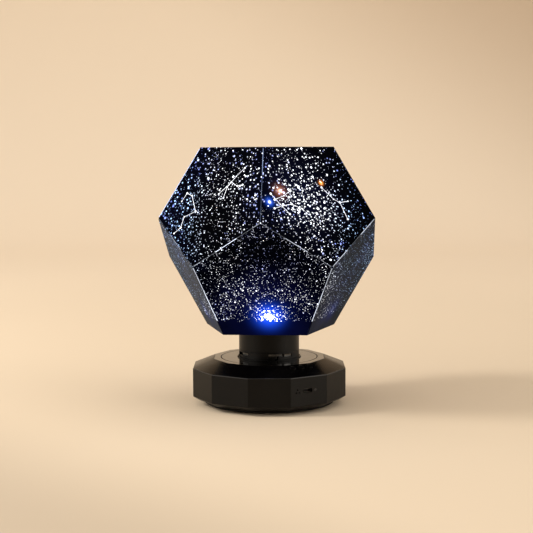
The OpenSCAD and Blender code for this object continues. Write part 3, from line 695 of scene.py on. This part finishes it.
# %% Neck: sleeve and spigot
neck_low, neck_high = 36.9 * MM, 60.6 * MM
spigot_rise, shoulder = 3.2 * MM, 58.2 * MM   # above the sleeve, and where the two bores meet
spigot_step, spigot_wall, sleeve_wall = 2.4 * MM, 2.0 * MM, 2.2 * MM
line_low, line_high, line_depth = 42.6 * MM, 43.0 * MM, 0.25 * MM
neck = call(rod(neck_radius, neck_low, neck_high, 128), "neck_body")
edit_faces(neck)
pick(neck, is_top)
inset(spigot_step)
grow(spigot_rise)
inset(spigot_wall)
grow(shoulder - neck_high - spigot_rise)
pick(neck, is_bottom)
inset(sleeve_wall)
grow(shoulder - neck_low)
pick(neck, lambda middle, way: is_end(middle, way) and abs(middle.z - shoulder) < 1e-5)
bpy.ops.mesh.bridge_edge_loops()
for height in (line_low, line_high):
    slice_at((0, 0, height), (0, 0, 1))
pick(neck, lambda middle, way: line_low < middle.z < line_high
     and math.hypot(middle.x, middle.y) > neck_radius - sleeve_wall / 2)
bpy.ops.mesh.extrude_region_shrink_fatten(TRANSFORM_OT_shrink_fatten={"value": -line_depth})
settle(neck)
round_edges(neck, 0.25 * MM, 50)

# %% Neck: bayonet slots
slot_turn, twist = -52, 30                    # of the first lug, and how far the shade turns on it
slot_low, slot_high, below = 39.4 * MM, 41.8 * MM, 36 * MM
cut_depth, cut_radius = 7 * MM, 22 * MM
slot_cuts = ((-10.25, 39.5, slot_low), (-twist, 19, below))            # turn, width, lower end
for k in range(4):
    for turn, wide, low in slot_cuts:
        reach = 2 * neck_radius * math.sin(math.radians(wide / 2))
        cut(neck, block((cut_depth, reach, slot_high - low), turned(slot_turn + 90 * k + turn)
                        @ shifted(cut_radius, 0, (low + slot_high) / 2)))
settle(neck, 35)
keep_flat(neck)
dress(satin_black, "neck_body")
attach(neck, "shade")
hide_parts("neck_sleeve")

# %% [markdown]
# ## The rim round the neck
# A low rounded rim on the turntable hugs the foot of the neck, and is broken where the bayonet
# goes in. It is a ring that starts as a short tube, with its gaps cut out by blocks.

# %% Rim
rim_radius, rim_width, rim_top = 25.7 * MM, 1.1 * MM, 37.3 * MM
rim_gap = (6 * MM, 5 * MM, 4 * MM)
rim = call(rod(rim_radius, base_top, rim_top, 128), "neck_rim")
hollow(rim, rim_width)
settle(rim)
for k in range(4):
    gap_place = turned(slot_turn - twist + 90 * k) @ shifted(26 * MM, 0, 37.2 * MM)
    cut(rim, block(rim_gap, gap_place))
round_edges(rim, 0.25 * MM, 50, 3)
settle(rim, 35)
keep_flat(rim)
dress(satin_black, "neck_rim")
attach(rim, "turntable")

# %% [markdown]
# ## The buttons
# Three small round buttons stand in a row on the slope: light, colour and turning. Each is a short
# cylinder with a shallow dish for the fingertip, made by an inset and a small push down.

# %% Buttons
flange_radius, flange = 3.3 * MM, 0.7 * MM     # the flange below the slope holds the button in
flange_low, flange_high, cap_rise = -3.7 * MM, -2.7 * MM, 3.7 * MM
lip = (0.45 * MM, 0.5 * MM)
dish_step, dish_slope, dish_depth = 0.18 * MM, 0.9 * MM, 0.1 * MM
for k, word in ((-1, "light"), (0, "colour"), (1, "turn")):
    button = call(rod(flange_radius, flange_low, flange_high, 48), word + "_key_cap")
    edit_faces(button)
    pick(button, is_top)
    inset(flange)
    grow(cap_rise)
    for wide in lip:
        inset(wide)
    grow(-dish_step)
    inset(dish_slope)
    lift(-dish_depth)
    settle(button)
    round_edges(button, 0.22 * MM, 50, 3)
    button.data.transform(on_slope @ shifted(0, k * button_step, 0))
    settle(button, 40)
    dress(button_black, button.name)
    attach(button, word + "_key")
    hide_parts(word + "_button")

# %% [markdown]
# ## The foot ring
# A soft rubber ring keeps the base from sliding, with round grooves in its underside. It starts as
# a wide short tube: a cylinder whose two ends are inset and joined. The grooves are insets too,
# pushed up and down in turn.

# %% Foot ring
foot_radius, foot_width, foot_thickness = 45.1 * MM, 8 * MM, 2 * MM
foot_grooves = ((1.0, 0.5), (0.9, -0.5), (0.8, 0.5))                   # border and push, in mm
foot = call(rod(foot_radius, 0, foot_thickness, 160), "foot_pad")
hollow(foot, foot_width)
pick(foot, lambda middle, way: is_bottom(middle, way) and middle.z < 1e-5)
for wide, push in foot_grooves:
    inset(wide * MM)
    grow(push * MM)
settle(foot)
round_edges(foot, 0.3 * MM, 50)
settle(foot, 35)
dress(foot_rubber, "foot_pad")
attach(foot, "base")
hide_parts("foot_ring")

# %% [markdown]
# ## Printed sky
# The film is black and glossy, with thousands of clear dots in the print through which the lamp
# shines. A Voronoi texture in three dimensions scatters points in space. Where a face passes close
# to a point, a dot shows, and because the face cuts each point at another depth, the dots have all
# sizes by themselves. One group makes one layer of such stars, and the sky stacks three of them.

# %% One layer of stars as a group
star_layer, have, give = new_group(
    "star layer",
    [("Place", "Vector", (0, 0, 0)), ("Spacing", "Float", 0.002), ("Radius", "Float", 0.0005),
     ("Fullness", "Float", 1.0), ("Faintest", "Float", 0.3)],
    [("Light", "Float"), ("Chance", "Float")])
cells = new_node("TexVoronoi", have["Place"])
cells.inputs["Scale"].default_value = 1.0
feed(cells.inputs["Vector"], vectors("SCALE", have["Place"], scale=maths("DIVIDE", 1.0, have["Spacing"])))
away = times(cells.outputs["Distance"], have["Spacing"])
chance = new_node("SeparateColor", away)
feed(chance.inputs[0], cells.outputs["Color"])
size = times(times(have["Radius"], have["Fullness"]), add(0.55, times(0.45, chance.outputs[0])))
dot = ramp(away, size, times(size, 0.68))
bright = times(maths("POWER", chance.outputs[1], 2.0), maths("SUBTRACT", 1.0, have["Faintest"]))
bright = add(have["Faintest"], bright)
fill(give, Light=times(dot, bright), Chance=chance.outputs[2])

# %% [markdown]
# A glow is a round spot that fades like a bell curve. It is used for the lamp that shines through
# the film just above the neck, and for a few coloured spots that glow among the stars.

# %% A glow as a group
glow_spot, have, give = new_group(
    "glow spot",
    [("Place", "Vector", (0, 0, 0)), ("Middle", "Vector", (0, 0, 0)), ("Reach", "Float", 0.01)],
    [("Light", "Float")])
share = maths("DIVIDE", vectors("DISTANCE", have["Place"], have["Middle"]), have["Reach"])
feed(give["Light"], maths("POWER", 2.7183, times(-1.0, times(share, share))))

# %% [markdown]
# The sky itself: three layers of stars, fuller along a cloudy band, some white and some blue, and a
# haze of deep blue, which glows as painted light from the lamp. Towards the top and the sides of
# each upper face the stars are larger, fewer and bluer. Both halves of the shade use the group with
# their own values, because the upper faces carry fewer and larger stars than the lower ones.

# %% The sky as a group


def within_a_fifth(x, y, turn):
    """How far a place lies round the axis from the middle of its side face, in radians."""
    around = add(maths("ARCTAN2", y, x), math.radians(turn))
    return maths("WRAP", around, math.radians(36), math.radians(-36))


printed_sky, have, give = new_group(
    "printed sky",
    [("Spacing", "Float", 0.002), ("Radius", "Float", 0.0005), ("Blueness", "Float", 0.3),
     ("Faintest", "Float", 0.3), ("Crowd", "Float", 0.0)],
    [("Stars", "Float"), ("Tint", "Color"), ("Haze", "Float")])
tree = printed_sky
place = object_place(tree)
band = noise(place, 21, 3, 0.55)
fullness = add(ramp(band, 0.33, 0.66, 0.68, 1.12), have["Crowd"])
x, y, z = split(place)
margin = maths("ABSOLUTE", within_a_fifth(x, y, -upper_turn))
sides = times(ramp(margin, 0.25, 0.60), ramp(z, 135 * MM, 158 * MM))
coarse = add(sides, ramp(z, 166 * MM, 196 * MM, 0.0, 0.8), clamp=True)
star_layers = (                      # spacing, radius, shift, faintest, and change towards the sides
    (1.0, 1.0, 0.0, 0.0, -0.45),
    (1.6, 1.4, 3.1, 0.25, 0.12),
    (3.9, 2.0, 7.7, 0.6, 0.15))
layers = []
for spacing, radius, shift, faintest, change in star_layers:
    share = add(1.0, times(coarse, change))
    layers.append(use(
        tree, star_layer, Place=vectors("ADD", place, (shift, shift * 0.7, -shift)),
        Fullness=times(fullness, share), Spacing=times(have["Spacing"], spacing),
        Radius=times(have["Radius"], radius),
        Faintest=add(have["Faintest"], faintest, clamp=True)))
stars = maths("MAXIMUM", maths("MAXIMUM", layers[0]["Light"], layers[1]["Light"]), layers[2]["Light"])
region = ramp(noise(vectors("ADD", place, (5, 2, 1)), 26, 2), 0.45, 0.62, 0.0, 0.5)
region = add(region, ramp(margin, 0.22, 0.60, 0.0, 0.6))
lights, chances = 0.001, 0.0
for layer in layers:
    lights = add(layer["Light"], lights)
    chances = add(times(layer["Light"], layer["Chance"]), chances)
blue = add(times(region, 0.6), times(maths("DIVIDE", chances, lights), 0.7))
blue = times(ramp(blue, 0.45, 0.95), have["Blueness"])
fill(give, Stars=stars, Haze=ramp(band, 0.4, 0.75),
     Tint=blend(blue, (0.93, 0.95, 1.0), (0.05, 0.09, 0.42)))

# %% [markdown]
# A lower face has a hot spot where the lamp is seen through it, low down in its middle. Space is
# folded round the axis in steps of a fifth of a turn, so that one glow serves all faces. The two
# faces at the sides keep only a trace of it, as in the photograph. No stars are printed on the
# lowest strip, where the film is clamped, and the glow alone shows there.

# %% Lamp glow as a group
lamp_glow, have, give = new_group(
    "lamp glow", [],
    [("Core", "Float"), ("Halo", "Float"), ("Near", "Float"), ("Wide", "Float"), ("Printed", "Float")])
tree = lamp_glow
x, y, z = split(object_place(tree))
far = maths("SQRT", add(times(x, x), times(y, y)))
turn = within_a_fifth(x, y, 90)
folded = new_node("CombineXYZ", far)
fill(folded.inputs, X=times(far, maths("SINE", turn)),
     Y=times(far, maths("COSINE", turn)), Z=z)
folded = folded.outputs[0]
hot = (0, 52.6 * MM, 76.2 * MM)
sideways = maths("ABSOLUTE", maths("DIVIDE", y, far))
full = ramp(sideways, 0.45, 0.75, 0.05, 1.0)
flat = vectors("MULTIPLY", vectors("SUBTRACT", folded, hot), (1, 1, 1.7))
flat = vectors("ADD", flat, hot)
for label, reach, space in (("Core", 2.8, flat), ("Halo", 9.0, folded), ("Near", 8.5, flat),
                            ("Wide", 30, folded)):
    spot = use(tree, glow_spot, Place=space, Middle=hot, Reach=reach * MM)["Light"]
    feed(give[label], times(spot, full))
feed(give["Printed"], ramp(z, 71.9 * MM, 72.6 * MM))

# %% Film


def glow_at(tree, place, middle, reach):
    """A glow whose middle and reach are given in millimetres."""
    middle = [part * MM for part in middle]
    return use(tree, glow_spot, Place=place, Middle=middle, Reach=reach * MM)["Light"]


def star_film(name, spacing, radius, blueness, faintest, mist, sheen, glowing_spots=(), crowds=()):
    """Film for one half of the shade, with a blue mist of the given colour and some sheen.

    glowing_spots are (middle, reach, colour) of coloured spots, which glow as emission, and crowds
    (middle, reach, more) of places where the stars are larger. The mist glows too: painted light from
    the lamp. Towards the two sides the stars turn blue.
    """
    material, tree, inputs = new_material(
        name, IOR=1.04, Emission_Strength=3.0, Specular_Tint=(0.56, 0.83, 1.0),
        Sheen_Weight=sheen, Sheen_Roughness=0.3, Sheen_Tint=(0.2, 0.52, 1.0))
    lamp = use(tree, lamp_glow)
    place = object_place(tree)
    crowd = times(lamp["Near"], 1.1)
    for middle, reach, more in crowds:
        crowd = add(crowd, times(glow_at(tree, place, middle, reach), more))
    sky = use(tree, printed_sky, Spacing=spacing, Radius=radius, Blueness=blueness,
              Faintest=faintest, Crowd=crowd)
    lit = times(sky["Stars"], lamp["Printed"], clamp=True)
    shine = times(lit, add(1.0, times(lamp["Near"], 8.0)))
    x, y, z = split(place)
    cold = ramp(maths("ABSOLUTE", x), 40 * MM, 68 * MM)
    tint = blend(cold, sky["Tint"], (0.42, 0.66, 1.0), "MULTIPLY")
    colour = blend(1.0, tint, shine, "MULTIPLY")
    # The mist is painted light: a faint glow of the lamp through the film, added as emission.
    haze = blend(sky["Haze"], (0.00002, 0.00002, 0.0001), mist)
    colour = blend(1.0, colour, haze, "ADD")
    glows = [(lamp["Wide"], (0.0003, 0.0007, 0.0090)), (lamp["Halo"], (0.006, 0.045, 0.50)),
             (lamp["Core"], (0.7, 0.74, 1.0))]
    # The coloured spots glow, added as emission.
    glows += [(glow_at(tree, place, middle, reach), tint) for middle, reach, tint in glowing_spots]
    for glow, tint in glows:
        colour = blend(1.0, colour, blend(glow, (0, 0, 0), tint), "ADD")
    wave = noise(place, 38)
    fill(inputs, Emission_Color=colour,
         Base_Color=blend(lit, (0.0004, 0.0004, 0.0008), (0.25, 0.27, 0.33)),
         Roughness=add(0.26, times(wave, 0.16)), Normal=bump(wave, 0.35 * MM))
    return material


# %% The two star films
upper_glowing_spots = (
    ((24, -64, 170), 26, (0.0008, 0.0011, 0.0048)),
    ((0.8, -76.3, 164.7), 3.0, (0.008, 0.05, 0.36)),
    ((0.8, -76.3, 164.7), 1.0, (0.9, 0.95, 1.0)),
    ((8.6, -66.8, 172.4), 4.4, (0.13, 0.045, 0.025)),
    ((8.6, -66.8, 172.4), 1.6, (0.6, 0.4, 0.3)),
    ((40.2, -43.9, 177.7), 1.6, (0.75, 0.24, 0.03)))
upper_crowds = (
    ((24, -64, 172), 30, 0.42), ((-20, -66, 176), 16, 0.16), ((70, 30, 165), 24, 0.22),
    ((-40, 62, 170), 26, 0.26))
upper_film = star_film("upper_sky", 1.72 * MM, 0.52 * MM, 0.95, 0.24, (0.0003, 0.0003, 0.0020), 0.04,
                       upper_glowing_spots, upper_crowds)
lower_film = star_film("lower_sky", 1.30 * MM, 0.36 * MM, 0.8, 0.1, (0.0006, 0.0007, 0.0046), 0.14)
dress(upper_film, "upper_star_film")
dress(lower_film, "lower_star_film")

# %% [markdown]
# ## Star figures
# Some stars are joined by fine lines into figures. They are printed, so each line is a very thin
# ribbon on the film and each named star a small disc. One ribbon and one disc are modelled, and
# copied to where the figures need them. The figures are made up, and belong to no real chart.

# %% Star figures: their points on each upper face


def chain(*points):
    """Points that are joined one after the other."""
    return points, [(n, n + 1) for n in range(len(points) - 1)]


figures = (
    (chain((-37, 6), (-31, -3), (-25, -11)), chain((-37, -6), (-29, -4), (-21, -3), (-13, -7)),
     chain((-35, 1), (-26, 4), (-19, 8)),
     (((10, 10), (18, 0), (23, -3), (31, -2), (26, -17)), ((0, 1), (1, 2), (2, 3), (2, 4)))),
    (chain((-20, 20), (-8, 25), (3, 18), (12, 22)),
     (((8, -12), (17, -5), (27, -8), (22, -20)), ((0, 1), (1, 2), (2, 3), (3, 0)))),
    (chain((-26, 8), (-15, 3), (-6, 10), (5, 6), (2, -8)), chain((14, 24), (22, 15), (30, 18))),
    (chain((-18, -14), (-9, -6), (0, -14), (9, -6), (18, -14)),
     chain((-6, 22), (4, 27), (12, 20), (5, 12))),
    (chain((21, 27), (15, 20), (12, 15), (3, 5)), chain((12, 15), (9.5, 11), (9, 2)),
     chain((12, 15), (19, 12), (24, 13)), chain((-30, 5), (-33, -2)),
     chain((-30, 5), (-24, 3), (-15, -10), (-25, -15), (-25, -24), (-30, -29))))
print("figures:", sum(len(drawn) for drawn in figures), "on", len(figures), "faces")


# %% Star figures: places on a face


def on_face(way, across, up, turn=0.0):
    """A place on a side face, in millimetres to the right and up, as seen from outside."""
    right = Vector((-way.y, way.x, 0)).normalized()
    rise = way.cross(right)
    spot = shade_middle + way * face_distance + right * across * MM + rise * up * MM
    frame_of_face = Matrix((right, rise, way)).transposed().to_4x4()
    return Matrix.Translation(spot) @ frame_of_face @ Matrix.Rotation(turn, 4, "Z")


def between(way, start, end):
    """Where a ribbon of 1 mm goes that is stretched from one point of a face to another."""
    (x0, y0), (x1, y1) = start, end
    return (on_face(way, (x0 + x1) / 2, (y0 + y1) / 2, math.atan2(y1 - y0, x1 - x0))
            @ Matrix.Diagonal((math.dist(start, end), 1, 1, 1)))


line_places, star_places = [], []
for way, drawn in zip(upper_faces, figures):
    for points, links in drawn:
        line_places += [between(way, points[a], points[b]) for a, b in links]
        for n, (across, up) in enumerate(points):
            large = Matrix.Scale(1.1 if n % 2 else 1.5, 4)
            star_places.append(on_face(way, across, up, 0.7 * n) @ large)
print("figures:", len(line_places), "lines,", len(star_places), "stars")

# %% Star figures: one line and one star, copied
print_thickness = 0.03 * MM


def ribbon(width, edge, rise):
    """A ribbon of 1 mm, whose sides slope up over an edge to a flat middle."""
    piece = block((1 * MM, width, print_thickness), shifted(0, 0, print_thickness / 2))
    edit_faces(piece)
    pick(piece, is_top)
    inset(edge)
    lift(rise)
    return piece


star_lines = copies(ribbon(0.40 * MM, 0.06 * MM, 0.008 * MM), line_places, "star_lines")

star_radius, star_edge, star_rise = 0.62 * MM, 0.2 * MM, 0.02 * MM
star = rod(star_radius, 0, print_thickness, 10)
edit_faces(star)
pick(star, is_top)
inset(star_edge)
lift(star_rise)
named_stars = copies(star, star_places, "named_stars")
for piece in (star_lines, named_stars):
    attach(piece, "shade")

# %% Star figures: their print
# The print glows: painted light of the lamp through the clear lines, added as emission.
glowing_print, tree, inputs = new_material("glowing_figure_print", Roughness=0.45, Emission_Strength=1.0)
fade = patches(tree, 160, 2, 0.3, 0.6, 0.55, 1.0)
fill(inputs, Base_Color=blend(fade, (0.25, 0.28, 0.36), (0.75, 0.78, 0.85)),
     Emission_Color=blend(fade, (0.22, 0.26, 0.42), (0.88, 0.92, 1.0)))
dress(glowing_print, "star_lines", "named_stars")

# %% [markdown]
# ## Light in the seams
# Between two petals a slit stays open, and the lamp shines through it. Behind the slit lie the glue
# tabs, which hold back most of the light, so a seam is bright in its middle and dim beside it. A
# thin bar of light fills each slit. It is cut across where a tab begins and ends, and each length
# carries its own brightness as an attribute, which the material reads.

# %% Seam light: one bar
bar_length, bar_width, bar_height, bar_depth = shade_edge - 2.6 * MM, 0.38 * MM, 0.26 * MM, 0.52 * MM
bar_cuts = (-25, -19, -10, 10, 25)      # ends of the tabs and of the clamped strip, in mm
ridge = 0.10 * MM
bar = block((bar_length, bar_width, bar_height), shifted(0, 0, -bar_depth))
bpy.ops.object.mode_set(mode="EDIT")
for cut_at in bar_cuts:
    slice_at((cut_at * MM, 0, 0), (1, 0, 0))
slice_at((0, 0, 0), (0, 1, 0))
bpy.ops.mesh.select_mode(type="VERT")
bpy.ops.mesh.select_all(action="DESELECT")
mesh = bmesh.from_edit_mesh(bar.data)
for corner_point in mesh.verts:
    corner_point.select_set(abs(corner_point.co.y) < 1e-6 and corner_point.co.z > -bar_depth)
bmesh.update_edit_mesh(bar.data)
lift(ridge)
let_go()
print("one seam bar:", len(bar.data.polygons), "faces")


# %% Seam light: a bar in every seam, with its brightness


def seam_place(one, other):
    """The frame of the edge between two faces: X along it, Z out of the shade."""
    out = (one + other).normalized()
    along = one.cross(other).normalized()
    if along.z < 0 or (abs(along.z) < 1e-6 and along.x < 0):
        along = -along
    middle = shade_middle + face_distance * (one + other) / (1 + one.dot(other))
    across = out.cross(along)
    return Matrix.Translation(middle) @ Matrix((along, across, out)).transposed().to_4x4()


def seam_bars(name, pairs, brightness):
    """Bars of light in some seams; brightness is asked for at each distance along each seam."""
    parts = []
    for number, (one, other) in enumerate(pairs):
        part = copy_to(bar, seam_place(one, other))
        glow = part.data.attributes.new("glow", "FLOAT", "FACE")
        for face, start in zip(part.data.polygons, bar.data.polygons):
            glow.data[face.index].value = brightness(start.center.x / MM, number)
        parts.append(part)
    piece = join(parts, name)
    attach(piece, "shade")


next_upper, next_lower = (faces[1:] + faces[:1] for faces in (upper_faces, lower_faces))
upper_seams = list(zip(upper_faces, next_upper))
lower_seams = list(zip(lower_faces, next_lower))
middle_seams = list(zip(upper_faces, lower_faces)) + list(zip(upper_faces, next_lower))


def down_from_top(s, number):
    """An upper seam: brighter near the top; the one at the left of the photograph is bright all over."""
    full = (0.08, 0.5, 0.4, 4.0, 0.7)[number]
    return full if s > 10 or number == 3 else full * (0.35 if s > -10 else 0.22)


def behind_tabs(s, number):
    """A seam of the belt: bright in the middle, dim over the tabs, half bright at its ends."""
    full = (0.9, 1.1, 0.7, 1.3, 0.5, 1.0, 0.8, 1.4, 0.6, 1.7)[number]
    if number == 5:
        return full * (0.12 if abs(s) < 10 else 1.0 if abs(s) < 25 else 0.8)
    return full if abs(s) < 10 else full * 0.08 if abs(s) < 25 else full * 0.35


def above_clamp(s, number):
    """A lower seam: bright down to the strip where the film is clamped."""
    full = (1.2, 1.0, 1.1, 1.0, 1.6)[number]
    return 0.0 if s < -19 else full if s < 10 else full * 0.6


seam_bars("upper_seam_light", upper_seams, down_from_top)
seam_bars("lower_seam_light", lower_seams, above_clamp)
seam_bars("belt_seam_light", middle_seams, behind_tabs)
bpy.data.objects.remove(bar)

# %% Seam light: its material


def seam_glow(name, tint):
    """Light through a slit, as bright as the attribute of each length says."""
    material, tree, inputs = new_material(name, Roughness=0.5, Emission_Strength=1.0, IOR=1.1)
    strength = tree.nodes.new("ShaderNodeAttribute")
    strength.attribute_name = "glow"
    level = times(strength.outputs["Fac"], patches(tree, 220, 2, start=0.75))
    share = maths("MINIMUM", level, 1.0)
    fill(inputs, Emission_Color=blend(1.0, tint, level, "MULTIPLY"),
         Base_Color=blend(share, (0.002, 0.002, 0.004), (0.12, 0.13, 0.16)))
    return material


dress(seam_glow("seam_glow", (0.80, 0.86, 1.0)), "lower_seam_light", "belt_seam_light")
dress(seam_glow("blue_seam_glow", (0.42, 0.58, 1.0)), "upper_seam_light")

# %% [markdown]
# The sides of the glue tabs show through the lower faces as short light strokes that lean in from
# each seam. They are thin ribbons like the star lines.

# %% Tab strokes
outer, inner, lean = 44.0, 40.8, 1.2    # from the face's middle, and how far a stroke leans, in mm
stroke_places = []
for way in lower_faces:
    for k in (2, 3):
        edge_turn = math.radians(-90 + 72 * k)
        c, s = math.cos(edge_turn), math.sin(edge_turn)
        for at in (-25, -10, 10, 25):
            to = at + (lean if at in (-25, 10) else -lean)
            start, end = ((c * x - s * y, s * x + c * y) for x, y in ((outer, at), (inner, to)))
            stroke_places.append(between(way, start, end))
tab_strokes = copies(ribbon(0.30 * MM, 0.05 * MM, 0.0), stroke_places, "tab_strokes")
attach(tab_strokes, "shade")
stroke_glow, tree, inputs = new_material("stroke_glow", Roughness=0.5, Emission_Strength=1.0)
fade = patches(tree, 300, 1)
fill(inputs, Emission_Color=blend(fade, (0.10, 0.11, 0.16), (0.42, 0.45, 0.55)),
     Base_Color=blend(fade, (0.05, 0.05, 0.07), (0.3, 0.32, 0.38)))
dress(stroke_glow, "tab_strokes")

# %% [markdown]
# ## Metals
# Screws, shaft and spring parts are bright steel, the motor's can is drawn steel with fine lines
# round it, and the lamp post is turned aluminium. Fine noise that is stretched along the lines of
# the tool gives each its brushed look.

# %% Metals


def metal(name, colour, low, high, lines):
    """A metal with tool marks, which are long in each direction where lines is small."""
    material, tree, inputs = new_material(name, Metallic=1.0)
    marks = noise(vectors("MULTIPLY", object_place(tree), lines), 900, 3, 0.6)
    dull = [part * 0.78 for part in colour]
    fill(inputs, Base_Color=blend(patches(tree, 90, 3, 0.35), colour, dull),
         Roughness=ramp(marks, 0.3, 0.7, low, high), Normal=bump(marks, 0.004 * MM))
    return material


steel = metal("steel", (0.56, 0.56, 0.57), 0.18, 0.36, (1, 1, 3))
can_steel = metal("can_steel", (0.50, 0.51, 0.53), 0.26, 0.44, (0.3, 0.3, 4))
post_aluminium = metal("post_aluminium", (0.62, 0.63, 0.65), 0.24, 0.42, (0.25, 0.25, 5))
nickel = metal("nickel", (0.60, 0.58, 0.54), 0.16, 0.3, (1, 1, 1))
dress(steel, "plate_screws", "lamp_post_screws", "motor_screws", "board_screws",
      "button_board_screws", "drive_shaft", "hub_clip")
dress(can_steel, "motor_can")
dress(post_aluminium, "lamp_post")
dress(nickel, "battery_contacts")
# The socket's shell is bright nickel, painted dark here as painted shade, since it sits deep in its
# window.
dress(metal("nickel_in_painted_shade", (0.07, 0.066, 0.06), 0.3, 0.45, (1, 1, 1)), "charge_socket")

# %% [markdown]
# ## Gears, boards, cell and leads
# The inner parts show when the base is opened. Gears, bush and washer are white acetal, which is a
# little waxy, so it gets some light from below its skin. The boards are glass fibre with a woven
# look under green varnish, and the leads are soft plastic.

# %% Waxy plastics, wrap and leads


def waxy(name, colour, rough, glow_through=0.0):
    """A light plastic with a soft skin, and some light from below it."""
    material, tree, inputs = new_material(
        name, Subsurface_Weight=glow_through, Subsurface_Scale=1.2 * MM)
    skin = use(tree, moulded_grain, Grain=1400, Rough_low=rough, Rough_high=rough + 0.14)
    soiled = [part * 0.82 for part in colour]
    fill(inputs, Base_Color=blend(skin["Smear"], colour, soiled),
         Roughness=skin["Roughness"], Normal=bump(skin["Height"], 0.01 * MM))
    return material


dress(waxy("acetal", (0.78, 0.76, 0.69), 0.36, 0.25),
      "ring_gear", "drive_pinion", "bearing_bush", "slip_washer")
dress(waxy("cell_wrap", (0.045, 0.13, 0.36), 0.24), "battery_cell")
dress(waxy("plunger_white", (0.66, 0.66, 0.64), 0.4, 0.1),
      "light_plunger", "colour_plunger", "turn_plunger")
dress(waxy("lead_red", (0.42, 0.03, 0.025), 0.38), "lamp_lead", "battery_lead")
dress(waxy("lead_white", (0.62, 0.62, 0.6), 0.38), "motor_lead")
dress(waxy("lead_yellow", (0.60, 0.38, 0.04), 0.38), "button_lead")
dress(matt_black, "base_plate", "lamp_cap", "battery_holder", "film_clamp")
dress(gloss_black, "turntable")
dress(plastic("chip_black", (0.012, 0.012, 0.013), 0.35, 0.5, 3200), "board_chips",
      "button_switches", "socket_tongue")

# %% Circuit boards


def board(name, colour, light_colour):
    """Varnished glass fibre: two crossed waves make the weave below the varnish."""
    material, tree, inputs = new_material(name, Roughness=0.32, Coat_Weight=0.5, Coat_Roughness=0.12)
    place = object_place(tree)
    waves = []
    for axis in ("X", "Y"):
        wave = new_node("TexWave", place)
        wave.bands_direction = axis
        fill(wave.inputs, Vector=place, Scale=420, Distortion=0.6)
        waves.append(wave.outputs["Fac"])
    weave = times(*waves)
    fill(inputs, Base_Color=blend(weave, colour, light_colour),
         Normal=bump(weave, 0.01 * MM))
    return material


dress(board("green_board", (0.008, 0.085, 0.040), (0.018, 0.13, 0.062)),
      "circuit_board", "button_board")
dress(board("white_board", (0.70, 0.71, 0.70), (0.78, 0.79, 0.78)), "lamp_board")

# %% [markdown]
# ## The lamp
# Three light chips sit under a small clear dome, and shine blue-white. The dome is the brightest
# thing in the shade. The charge light beside the socket is a short clear pipe, dark while nothing
# charges.

# %% Lamp and charge light
phosphor, tree, inputs = new_material("led_phosphor", Roughness=0.5, Emission_Strength=4.0)
grains = noise(object_place(tree), 4000)
fill(inputs, Base_Color=blend(grains, (0.75, 0.66, 0.25), (0.85, 0.80, 0.45)),
     Emission_Color=blend(grains, (0.45, 0.62, 1.0), (0.60, 0.75, 1.0)))
dress(phosphor, "led_chips")

dome, tree, inputs = new_material(
    "clear_dome", Transmission_Weight=1.0, IOR=1.45, Emission_Strength=1.6)
veil = patches(tree, 400, 2)
fill(inputs, Emission_Color=blend(veil, (0.10, 0.22, 0.85), (0.35, 0.5, 1.0)),
     Roughness=ramp(veil, 0.0, 1.0, 0.04, 0.12))
dress(dome, "led_lens")

pipe, tree, inputs = new_material("light_pipe", Transmission_Weight=0.35, IOR=1.45)
veil = noise(object_place(tree), 1500)
fill(inputs, Base_Color=blend(veil, (0.02, 0.022, 0.026), (0.05, 0.055, 0.06)),
     Roughness=ramp(veil, 0.3, 0.7, 0.1, 0.25))
dress(pipe, "charge_light")
print("materials:", len(bpy.data.materials))
